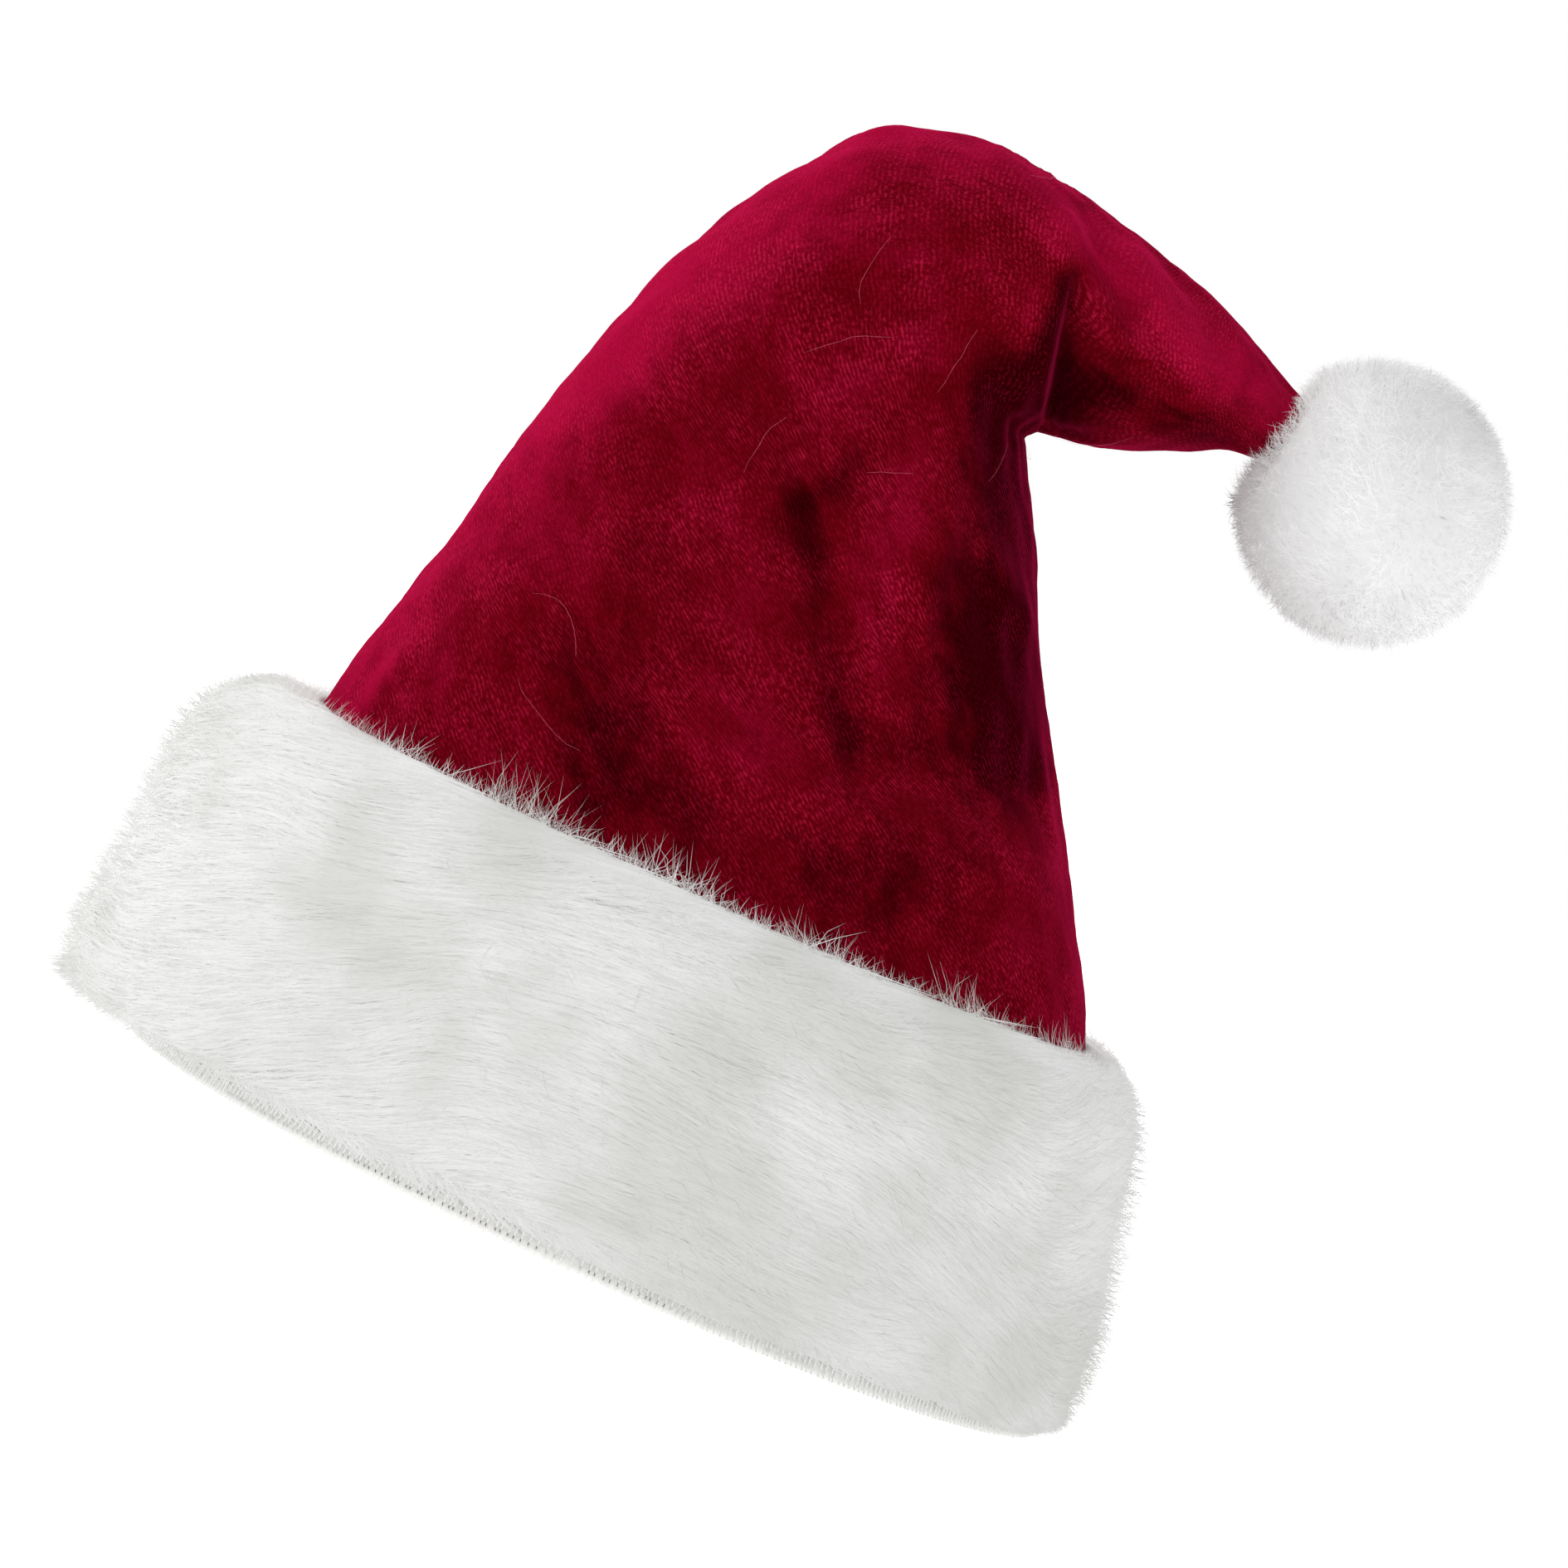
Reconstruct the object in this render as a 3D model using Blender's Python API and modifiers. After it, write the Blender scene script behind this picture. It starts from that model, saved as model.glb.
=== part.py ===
"""Santa hat: a bent velvet crown in a deep fur cuff, with a facing inside, a stitched rim and a pompom.

Metres, +Z up. The origin is the middle of the head opening, on the surface that the rim rests on.
+X runs along the long way of the opening, towards the side that the tip hangs to, and -Y is the front.
"""

import math
from collections import namedtuple

import bmesh
import bpy
from mathutils import Matrix, Vector

# Driving sizes
opening_width = 0.220
opening_depth = 0.160
crown_height = 0.272
cuff_height = 0.088
facing_drop = 0.004
hem_height = 0.005
hem_roll = 0.0008
hem_chamfer = 0.0012
velvet_wall = 0.002
facing_wall = 0.0015
backing_wall = 0.002
layer_gap = 0.0003
floor_clearance = 0.001
fur_depth_left = 0.028
fur_depth_right = 0.017
fur_depth_front = 0.018
lock_width = 0.017
lock_reach = 0.036
pompom_diameter = 0.068
pompom_pile = 0.006
pompom_seat_width = 0.018
pompom_lock_width = 0.026
fold_relief = 0.004

# Resolution
around = 40
ring_spacing = 0.0135
lock_columns = 18
pompom_locks = 52
squareness = 2.2

# The crown's sections, from the top of the cuff to the closed tip. Each is a loop that leans over with the
# bend: outer is its edge on the outside of the bend, inner its edge on the inside. Widths are shares of half
# the opening's width, rises are shares of the way from the cuff's top to the crown's top, and half_depth is a
# share of half the opening's depth. press is how far the cloth beside the bend is pushed in.
Section = namedtuple("Section", "outer outer_rise inner inner_rise half_depth press")
CROWN_SECTIONS = (
    Section(-0.968, 0.000, 0.822, 0.000, 0.890, 0.00),
    Section(-0.912, 0.154, 0.675, 0.154, 0.825, 0.00),
    Section(-0.858, 0.283, 0.541, 0.283, 0.765, 0.00),
    Section(-0.805, 0.435, 0.385, 0.432, 0.690, 0.00),
    Section(-0.740, 0.565, 0.270, 0.565, 0.625, 0.00),
    Section(-0.686, 0.679, 0.184, 0.650, 0.580, 0.00),
    Section(-0.618, 0.783, 0.160, 0.673, 0.550, 0.00),
    Section(-0.527, 0.870, 0.156, 0.678, 0.530, 0.00),
    Section(-0.427, 0.943, 0.158, 0.682, 0.515, 0.00),
    Section(-0.318, 0.981, 0.162, 0.685, 0.505, 0.00),
    Section(-0.182, 1.000, 0.167, 0.688, 0.495, 0.00),
    Section(-0.045, 0.996, 0.172, 0.691, 0.485, 0.00),
    Section(0.050, 0.990, 0.178, 0.694, 0.475, 0.00),
    Section(0.075, 0.988, 0.190, 0.696, 0.465, 0.44),
    Section(0.160, 0.977, 0.230, 0.698, 0.445, 0.36),
    Section(0.288, 0.962, 0.305, 0.705, 0.390, 0.14),
    Section(0.395, 0.940, 0.395, 0.725, 0.320, 0.04),
    Section(0.503, 0.905, 0.495, 0.753, 0.240, 0.00),
    Section(0.577, 0.872, 0.568, 0.788, 0.160, 0.00),
    Section(0.680, 0.853, 0.655, 0.779, 0.095, 0.00),
)

# Where the press starts along a section, and its share at the back.
press_start = -0.45
press_back_share = 0.6

# Folds of the velvet above the cuff. Each runs straight from start to end in the front view, in the same
# shares as the sections. half_width is a share of half the opening's width, and height a share of fold_relief,
# less than 0 for a valley.
Fold = namedtuple("Fold", "side start start_rise end end_rise half_width height")
FRONT, BACK = -1, 1
FOLDS = (
    Fold(FRONT, -0.130, 0.975, 0.045, 0.930, 0.045, 0.50),
    Fold(FRONT, 0.045, 0.925, 0.255, 0.832, 0.040, 0.60),
    Fold(FRONT, 0.090, 0.965, 0.270, 0.860, 0.035, -0.60),
    Fold(FRONT, 0.210, 0.935, 0.475, 0.825, 0.045, 0.55),
    Fold(FRONT, 0.260, 0.970, 0.440, 0.885, 0.035, -0.50),
    Fold(FRONT, -0.036, 0.700, 0.055, 0.500, 0.080, 0.80),
    Fold(FRONT, 0.055, 0.500, 0.127, 0.300, 0.080, 0.80),
    Fold(FRONT, -0.200, 0.480, 0.100, 0.245, 0.050, -0.55),
    Fold(FRONT, 0.190, 0.520, 0.360, 0.460, 0.045, 0.45),
    Fold(FRONT, -0.110, 0.155, 0.530, 0.163, 0.090, 0.75),
    Fold(FRONT, 0.160, 0.235, 0.470, 0.275, 0.080, -0.80),
    Fold(FRONT, -0.700, 0.340, -0.400, 0.610, 0.130, -0.60),
    Fold(FRONT, -0.560, 0.200, -0.340, 0.050, 0.110, -0.60),
    Fold(BACK, -0.560, 0.620, -0.180, 0.200, 0.110, -0.80),
    Fold(BACK, -0.250, 0.700, 0.240, 0.180, 0.090, 0.75),
    Fold(BACK, 0.120, 0.560, 0.470, 0.210, 0.080, -0.60),
    Fold(BACK, -0.180, 0.950, 0.130, 0.850, 0.060, 0.60),
    Fold(BACK, 0.160, 0.940, 0.400, 0.830, 0.050, -0.55),
    Fold(BACK, -0.700, 0.130, -0.200, 0.170, 0.090, 0.60),
)
fold_fade_rise = 0.06
fold_edge_share = 0.62

# The pile's outline over the height of the cuff, as shares of the cuff's height and of the pile's depth.
Pile = namedtuple("Pile", "height depth")
PILE_OUTLINE = (
    Pile(0.00, 0.55),
    Pile(0.08, 0.66),
    Pile(0.30, 0.86),
    Pile(0.50, 0.93),
    Pile(0.70, 1.00),
    Pile(0.84, 0.97),
    Pile(0.93, 0.68),
    Pile(1.00, 0.22),
    Pile(1.06, 0.10),
)
pile_body_share = 0.70
pile_foot_share = 0.30
body_heights = (0.22, 0.45, 0.68, 0.84, 0.93, 1.0)

# The rows of locks on the cuff: the height of the root and how far the tip climbs, as shares of the height.
LockRow = namedtuple("LockRow", "height climb")
LOCK_ROWS = (LockRow(0.17, -0.04), LockRow(0.40, 0.03), LockRow(0.63, -0.02), LockRow(0.85, 0.03))

# The stations along a lock: how far along it, its depth in the pile, and its width and thickness.
Station = namedtuple("Station", "along depth width thickness")
LOCK_STATIONS = (
    Station(0.00, 0.45, 0.60, 0.40),
    Station(0.40, 0.78, 1.00, 0.50),
    Station(0.78, 0.93, 0.66, 0.30),
    Station(1.00, 0.97, 0.14, 0.06),
)
lock_crown_share = 0.4
lock_sway_share = 0.02

# The pompom's locks: where their roots start in the ball, how they lean and narrow, and how close to the
# tip they grow, as the cosine of the angle to it.
pompom_root_share = 0.6
pompom_lean = 0.15
pompom_taper = 0.28
lock_free_share = 0.84

# Sizes worked out from those above
rim_slope = (opening_width / 2 * (1 - CROWN_SECTIONS[0].inner)) / cuff_height
slant = math.sqrt(1 + rim_slope * rim_slope)
inner_layers = (facing_wall + velvet_wall) * slant + layer_gap
hem_outer = layer_gap + backing_wall + hem_roll
layers_start = hem_height + layer_gap
crown_start = layers_start + velvet_wall * rim_slope / slant
pompom_core_radius = pompom_diameter / 2 - pompom_pile


def clear_scene():
    for thing in list(bpy.data.objects):
        bpy.data.objects.remove(thing)


def new_collection(name):
    collection = bpy.data.collections.new(name)
    bpy.context.scene.collection.children.link(collection)
    return collection


def make_material(name, colour, roughness):
    material = bpy.data.materials.new(name)
    material.use_nodes = True
    shader = material.node_tree.nodes["Principled BSDF"]
    shader.inputs["Base Color"].default_value = (*colour, 1.0)
    shader.inputs["Roughness"].default_value = roughness
    shader.inputs["Metallic"].default_value = 0.0
    return material


def make_object(name, bm, collection, material):
    """Writes the bmesh to a new named object of the collection."""
    mesh = bpy.data.meshes.new(name)
    bm.to_mesh(mesh)
    bm.free()
    piece = bpy.data.objects.new(name, mesh)
    collection.objects.link(piece)
    if material:
        mesh.materials.append(material)
    mesh.shade_smooth()
    mesh.set_sharp_from_angle(angle=math.radians(40))
    return piece


def soft_step(value):
    """0 below 0, 1 above 1 and an even S between."""
    value = min(1.0, max(0.0, value))
    return value * value * (3.0 - 2.0 * value)


def table_value(table, place):
    """The second column of a table at a place in its first, along straight lines."""
    if place <= table[0][0]:
        return table[0][1]
    for low, high in zip(table, table[1:]):
        if place <= high[0]:
            share = (place - low[0]) / (high[0] - low[0])
            return low[1] + (high[1] - low[1]) * share
    return table[-1][1]


def loop_shares(angle):
    """Where an angle lies on a section, along it and across it, each from -1 to 1."""
    power = 2.0 / squareness
    along = math.copysign(abs(math.cos(angle)) ** power, math.cos(angle))
    across = math.copysign(abs(math.sin(angle)) ** power, math.sin(angle))
    return along, across


def real_section(section):
    """A row of the crown's table with its shares turned into metres."""
    half_width = opening_width / 2
    rise = crown_height - cuff_height
    return Section(
        section.outer * half_width,
        cuff_height + section.outer_rise * rise,
        section.inner * half_width,
        cuff_height + section.inner_rise * rise,
        section.half_depth * opening_depth / 2,
        section.press,
    )


def rim_section():
    """The crown's outer face at the floor, just outside the facing."""
    half_width = opening_width / 2 + inner_layers
    return Section(-half_width, 0.0, half_width, 0.0, opening_depth / 2 + inner_layers, 0.0)


def blend(first, second, share):
    return Section(*(a + (b - a) * share for a, b in zip(first, second)))


def cuff_section(height):
    """The crown's outer face at a height inside the cuff."""
    return blend(rim_section(), real_section(CROWN_SECTIONS[0]), height / cuff_height)


def curve_between(before, start, end, after, share):
    """A smooth curve through four sections, a share of the way from the second to the third."""
    values = []
    for a, b, c, d in zip(before, start, end, after):
        bend = 2 * a - 5 * b + 4 * c - d
        twist = 3 * b - 3 * c + d - a
        values.append(0.5 * (2 * b + (c - a) * share + bend * share**2 + twist * share**3))
    return Section(*values)


def crown_rings():
    """The crown's sections from the hem to the tip, with more between those that lie far apart."""
    rows = [real_section(section) for section in CROWN_SECTIONS]
    rings = [cuff_section(crown_start), cuff_section((crown_start + cuff_height) / 2)]
    for index in range(len(rows) - 1):
        start, end = rows[index], rows[index + 1]
        before = rows[index - 1] if index else cuff_section(cuff_height / 2)
        after = rows[min(index + 2, len(rows) - 1)]
        length = math.hypot(end.outer - start.outer, end.outer_rise - start.outer_rise)
        steps = max(1, round(length / ring_spacing))
        for step in range(steps):
            rings.append(curve_between(before, start, end, after, step / steps))
    rings.append(rows[-1])
    return rings


def fold_height(x, z, side):
    """How far the folds lift the velvet at a place in the front view."""
    rise = (z - cuff_height) / (crown_height - cuff_height)
    place = Vector((x, z - cuff_height))
    total = 0.0
    for fold in FOLDS:
        if fold.side != side:
            continue
        start = Vector((fold.start * opening_width / 2, fold.start_rise * (crown_height - cuff_height)))
        end = Vector((fold.end * opening_width / 2, fold.end_rise * (crown_height - cuff_height)))
        along = end - start
        share = min(1.0, max(0.0, (place - start).dot(along) / along.length_squared))
        distance = (place - start - along * share).length / (fold.half_width * opening_width / 2)
        total += fold.height * math.exp(-distance * distance)
    return total * fold_relief * soft_step(rise / fold_fade_rise)


def section_point(section, angle):
    """The point of a crown section at an angle, with the press beside the bend and the folds."""
    along, across = loop_shares(angle)
    middle = Vector(((section.outer + section.inner) / 2, 0, (section.outer_rise + section.inner_rise) / 2))
    half = Vector(((section.inner - section.outer) / 2, 0, (section.inner_rise - section.outer_rise) / 2))
    side = FRONT if across < 0 else BACK
    pressed = section.press * (1.0 if side == FRONT else press_back_share)
    depth = section.half_depth * (1 - pressed * soft_step((along - press_start) / (1 - press_start)))
    point = middle + half * along
    point.y = depth * across
    lift = fold_height(point.x, point.z, side) * soft_step(abs(across) / fold_edge_share)
    outward = half.normalized() * (along / half.length) + Vector((0, across / section.half_depth, 0))
    return point + outward.normalized() * lift


def add_loops(bm, loops, close_first, close_last):
    """Joins loops of points into one skin, whose faces point away from the loops' middle."""
    rows = [[bm.verts.new(point) for point in points] for points in loops]
    count = len(rows[0])
    for lower, upper in zip(rows, rows[1:]):
        for index in range(count):
            after = (index + 1) % count
            bm.faces.new((lower[index], lower[after], upper[after], upper[index]))
    if close_first:
        bm.faces.new(rows[0][::-1])
    if close_last:
        bm.faces.new(rows[-1])
    return rows


def angles():
    return [2 * math.pi * index / around for index in range(around)]


def wall_point(height, angle, out):
    """A point a level distance outside the crown's outer face, inside the cuff."""
    section = cuff_section(height)
    along, across = loop_shares(angle)
    middle = (section.outer + section.inner) / 2
    half = (section.inner - section.outer) / 2
    outward = Vector((along / half, across / section.half_depth, 0)).normalized()
    return Vector((middle + half * along, section.half_depth * across, height)) + outward * out


def add_closed_wall(bm, outline_at):
    """A closed ring wall round the opening, from its outline at each angle."""
    columns = [outline_at(angle) for angle in angles()]
    rows = [[bm.verts.new(point) for point in points] for points in zip(*columns)]
    for row, following in zip(rows, rows[1:] + rows[:1]):
        for index in range(around):
            after = (index + 1) % around
            bm.faces.new((row[index], row[after], following[after], following[index]))


def even_wall(bm, outline):
    """A closed ring wall with the same heights and distances out at every angle."""
    add_closed_wall(bm, lambda angle: [wall_point(height, angle, out) for height, out in outline])


def make_crown(collection):
    """The velvet crown: one cloth wall from the hem to the closed tip, bent over to one side."""
    bm = bmesh.new()
    loops = [[section_point(section, angle) for angle in angles()] for section in crown_rings()]
    add_loops(bm, loops, close_first=False, close_last=True)
    crown = make_object("crown", bm, collection, make_material("velvet", (0.33, 0.005, 0.035), 0.75))
    wall = crown.modifiers.new("cloth wall", "SOLIDIFY")
    wall.thickness = velvet_wall
    wall.offset = -1.0
    wall.use_even_offset = True
    wall.thickness_clamp = 1.0
    return crown


def make_facing(collection):
    """The plain cloth facing inside the cuff."""
    outer = -velvet_wall * slant - layer_gap
    inner = outer - facing_wall * slant
    bm = bmesh.new()
    top = cuff_height - facing_drop
    even_wall(bm, ((layers_start, outer), (top, outer), (top, inner), (layers_start, inner)))
    return make_object("cuff_facing", bm, collection, make_material("facing", (0.56, 0.50, 0.43), 0.9))


def make_hem(collection):
    """The overlocked rim that closes the layers and rests on the floor."""
    outer = hem_outer
    inner = -inner_layers - hem_roll
    outline = (
        (0.0, outer - hem_chamfer),
        (hem_chamfer, outer),
        (hem_height - hem_chamfer, outer),
        (hem_height, outer - hem_chamfer),
        (hem_height, inner + hem_chamfer),
        (hem_height - hem_chamfer, inner),
        (hem_chamfer, inner),
        (0.0, inner + hem_chamfer),
    )
    bm = bmesh.new()
    even_wall(bm, outline)
    return make_object("rim_hem", bm, collection, make_material("overlock", (0.80, 0.80, 0.78), 0.85))


def pile_depth(angle):
    """The depth of the pile round the cuff, deepest on the side away from the tip."""
    towards = math.cos(angle)
    side = fur_depth_right if towards > 0 else fur_depth_left
    return fur_depth_front + (side - fur_depth_front) * towards * towards


def fur_point(angle, height_share, depth_share, lift=0.0):
    """A point in the cuff's pile, kept clear of the hem below it."""
    height = max(height_share * cuff_height, floor_clearance)
    out = pile_depth(angle) * table_value(PILE_OUTLINE, height_share) * depth_share + lift
    out = max(out, layer_gap + backing_wall)
    if height < layers_start + layer_gap:
        out = max(out, hem_outer + 2 * layer_gap)
    return wall_point(height, angle, out)


def fur_body_outline(angle):
    """The cuff's backing with the dense lower pile, at one angle."""
    foot = wall_point(layers_start, angle, hem_outer + pile_depth(angle) * pile_foot_share)
    face = [fur_point(angle, share, pile_body_share) for share in body_heights]
    back = [wall_point(height, angle, layer_gap) for height in (cuff_height, layers_start)]
    return [foot] + face + back


def add_lock(bm, angle, height_share, climb):
    """One lock of the cuff: a flat strip that leaves the pile, follows the wall and ends in a point."""
    section = cuff_section(height_share * cuff_height)
    half = (section.inner - section.outer) / 2 + pile_depth(angle)
    speed = math.hypot(half * math.sin(angle), (section.half_depth + pile_depth(angle)) * math.cos(angle))
    turn = lock_reach / speed
    loops = []
    for station in LOCK_STATIONS:
        there = angle + turn * station.along
        share = height_share + climb * station.along
        half_width = station.width * lock_width / 2 / cuff_height
        half_thick = station.thickness * pile_depth(there) / 2
        loops.append(
            [
                fur_point(there, share - half_width, station.depth),
                fur_point(there, share, station.depth, half_thick * lock_crown_share),
                fur_point(there, share + half_width, station.depth),
                fur_point(there, share, station.depth, -half_thick),
            ]
        )
    add_loops(bm, loops, close_first=True, close_last=True)


def make_cuff_fur(collection, cutters):
    """The fur cuff: its backing and pile, with rows of locks combed round it, fused into one body."""
    bm = bmesh.new()
    add_closed_wall(bm, fur_body_outline)
    fur = make_object("cuff_fur", bm, collection, make_material("fur", (0.86, 0.86, 0.84), 0.9))
    bm = bmesh.new()
    for number, row in enumerate(LOCK_ROWS):
        for column in range(lock_columns):
            start = 2 * math.pi * (column + 0.5 * (number % 2)) / lock_columns
            sway = lock_sway_share * math.sin(5 * column + 2 * number)
            add_lock(bm, start, row.height, row.climb + sway)
    return fuse_locks(fur, bm, cutters, "cuff_locks")


def fuse_locks(piece, bm, cutters, name):
    """Unites locks, which may cross each other, with the piece that they grow from."""
    bmesh.ops.recalc_face_normals(bm, faces=bm.faces)
    locks = make_object(name, bm, cutters, None)
    locks.hide_render = True
    locks.display_type = "WIRE"
    union = piece.modifiers.new("locks", "BOOLEAN")
    union.operation = "UNION"
    union.object = locks
    union.use_self = True
    return piece


def tip_end():
    """The middle of the crown's closed tip and the way that it points."""
    last = real_section(CROWN_SECTIONS[-1])
    middle = Vector(((last.outer + last.inner) / 2, 0, (last.outer_rise + last.inner_rise) / 2))
    across = Vector((last.inner - last.outer, 0, last.inner_rise - last.outer_rise)).normalized()
    return middle, Vector((-across.z, 0, across.x))


def make_pompom(collection, cutters):
    """The pompom: a ball with a flat seat against the tip, and locks all round it but there."""
    tip, pointing = tip_end()
    seat_distance = math.sqrt(pompom_core_radius**2 - (pompom_seat_width / 2) ** 2)
    centre = tip + pointing * (layer_gap + seat_distance)
    bm = bmesh.new()
    bmesh.ops.create_uvsphere(
        bm, u_segments=14, v_segments=9, radius=pompom_core_radius, matrix=Matrix.Translation(centre)
    )
    everything = bm.verts[:] + bm.edges[:] + bm.faces[:]
    seat = centre - pointing * seat_distance
    cut = bmesh.ops.bisect_plane(bm, geom=everything, plane_co=seat, plane_no=-pointing, clear_outer=True)
    rim = [part for part in cut["geom_cut"] if isinstance(part, bmesh.types.BMEdge)]
    bmesh.ops.contextual_create(bm, geom=rim)
    pompom = make_object("pompom", bm, collection, make_material("pompom fur", (0.80, 0.80, 0.80), 0.9))
    bm = bmesh.new()
    golden_turn = math.pi * (3 - math.sqrt(5))
    for index in range(pompom_locks):
        height = 1 - 2 * (index + 0.5) / pompom_locks
        level = math.sqrt(1 - height * height)
        out = Vector((level * math.cos(golden_turn * index), level * math.sin(golden_turn * index), height))
        if out.dot(-pointing) < lock_free_share:
            add_pompom_lock(bm, centre, out, pointing)
    return fuse_locks(pompom, bm, cutters, "pompom_locks")


def add_pompom_lock(bm, centre, out, pointing):
    """One lock of the pompom: a short blunt cone that leans a little away from the tip."""
    lean = (out + pointing * pompom_lean).normalized()
    root = pompom_core_radius * pompom_root_share
    length = pompom_diameter / 2 - root
    turn = lean.to_track_quat("Z", "Y").to_matrix().to_4x4()
    place = Matrix.Translation(centre + out * root + lean * length / 2) @ turn
    bmesh.ops.create_cone(
        bm,
        cap_ends=True,
        segments=6,
        radius1=pompom_lock_width / 2,
        radius2=pompom_lock_width * pompom_taper / 2,
        depth=length,
        matrix=place,
    )


def main():
    clear_scene()
    hat = new_collection("santa_hat")
    cutters = new_collection("helpers")
    make_crown(hat)
    make_facing(hat)
    make_hem(hat)
    make_cuff_fur(hat, cutters)
    make_pompom(hat, cutters)


main()
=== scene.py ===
"""Santa hat: the cloth, fur, stitches, finishes, floor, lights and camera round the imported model."""
import math
from collections import namedtuple

import bmesh
import bpy
import numpy as np
from mathutils import Matrix, Vector


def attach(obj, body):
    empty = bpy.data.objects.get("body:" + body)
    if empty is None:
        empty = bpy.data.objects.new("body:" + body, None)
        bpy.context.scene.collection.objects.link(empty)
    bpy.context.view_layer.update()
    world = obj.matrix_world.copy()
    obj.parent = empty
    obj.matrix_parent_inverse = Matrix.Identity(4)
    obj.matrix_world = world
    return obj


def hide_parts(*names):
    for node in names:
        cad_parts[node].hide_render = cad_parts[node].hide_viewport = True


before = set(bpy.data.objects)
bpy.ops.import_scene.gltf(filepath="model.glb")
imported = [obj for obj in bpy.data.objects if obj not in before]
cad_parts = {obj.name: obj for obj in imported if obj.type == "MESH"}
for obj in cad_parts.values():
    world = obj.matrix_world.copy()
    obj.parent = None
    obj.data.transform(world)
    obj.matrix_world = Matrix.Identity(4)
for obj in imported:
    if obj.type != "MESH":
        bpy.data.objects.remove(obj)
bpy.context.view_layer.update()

BODY = "root"

# Sizes of the hat in metres, as the solids have them.
opening_width = 0.220
opening_depth = 0.160
crown_height = 0.272
cuff_height = 0.088
facing_drop = 0.004
hem_height = 0.005
hem_roll = 0.0008
velvet_wall = 0.002
facing_wall = 0.0015
backing_wall = 0.002
layer_gap = 0.0003
fur_depth_left = 0.028
fur_depth_right = 0.017
fur_depth_front = 0.018
pompom_diameter = 0.068
pompom_seat_width = 0.018
pompom_pile = 0.006
pompom_sag = (-0.0017, 0.0, -0.0019)
pompom_body_share = 0.93
squareness = 2.2
fold_edge_share = 0.62
fold_fade_rise = 0.06
turned_edge = 0.022
stitch_count = 470

# The crown's sections, from the top of the cuff to the closed tip: the loop's edge on the outside of the bend
# and on the inside, its depth, and how far the cloth beside the bend is pushed in.
Section = namedtuple("Section", "outer outer_rise inner inner_rise half_depth press")
CROWN_SECTIONS = (
    Section(-0.968, 0.000, 0.822, 0.000, 0.890, 0.00),
    Section(-0.912, 0.154, 0.675, 0.154, 0.825, 0.00),
    Section(-0.858, 0.283, 0.541, 0.283, 0.765, 0.00),
    Section(-0.812, 0.435, 0.385, 0.432, 0.690, 0.00),
    Section(-0.751, 0.565, 0.270, 0.565, 0.625, 0.00),
    Section(-0.690, 0.679, 0.184, 0.650, 0.580, 0.00),
    Section(-0.611, 0.781, 0.160, 0.673, 0.550, 0.00),
    Section(-0.518, 0.867, 0.156, 0.678, 0.530, 0.00),
    Section(-0.427, 0.943, 0.158, 0.682, 0.515, 0.00),
    Section(-0.318, 0.981, 0.162, 0.685, 0.505, 0.00),
    Section(-0.182, 1.000, 0.167, 0.688, 0.495, 0.00),
    Section(-0.045, 0.996, 0.172, 0.691, 0.485, 0.00),
    Section(0.050, 0.990, 0.178, 0.694, 0.475, 0.00),
    Section(0.075, 0.988, 0.190, 0.696, 0.465, 0.44),
    Section(0.160, 0.974, 0.230, 0.698, 0.445, 0.36),
    Section(0.288, 0.957, 0.305, 0.705, 0.390, 0.14),
    Section(0.395, 0.940, 0.395, 0.725, 0.320, 0.04),
    Section(0.503, 0.914, 0.495, 0.751, 0.240, 0.00),
    Section(0.577, 0.892, 0.568, 0.772, 0.165, 0.00),
    Section(0.680, 0.864, 0.655, 0.775, 0.100, 0.00),
)
press_start = -0.45
press_back_share = 0.6

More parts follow.
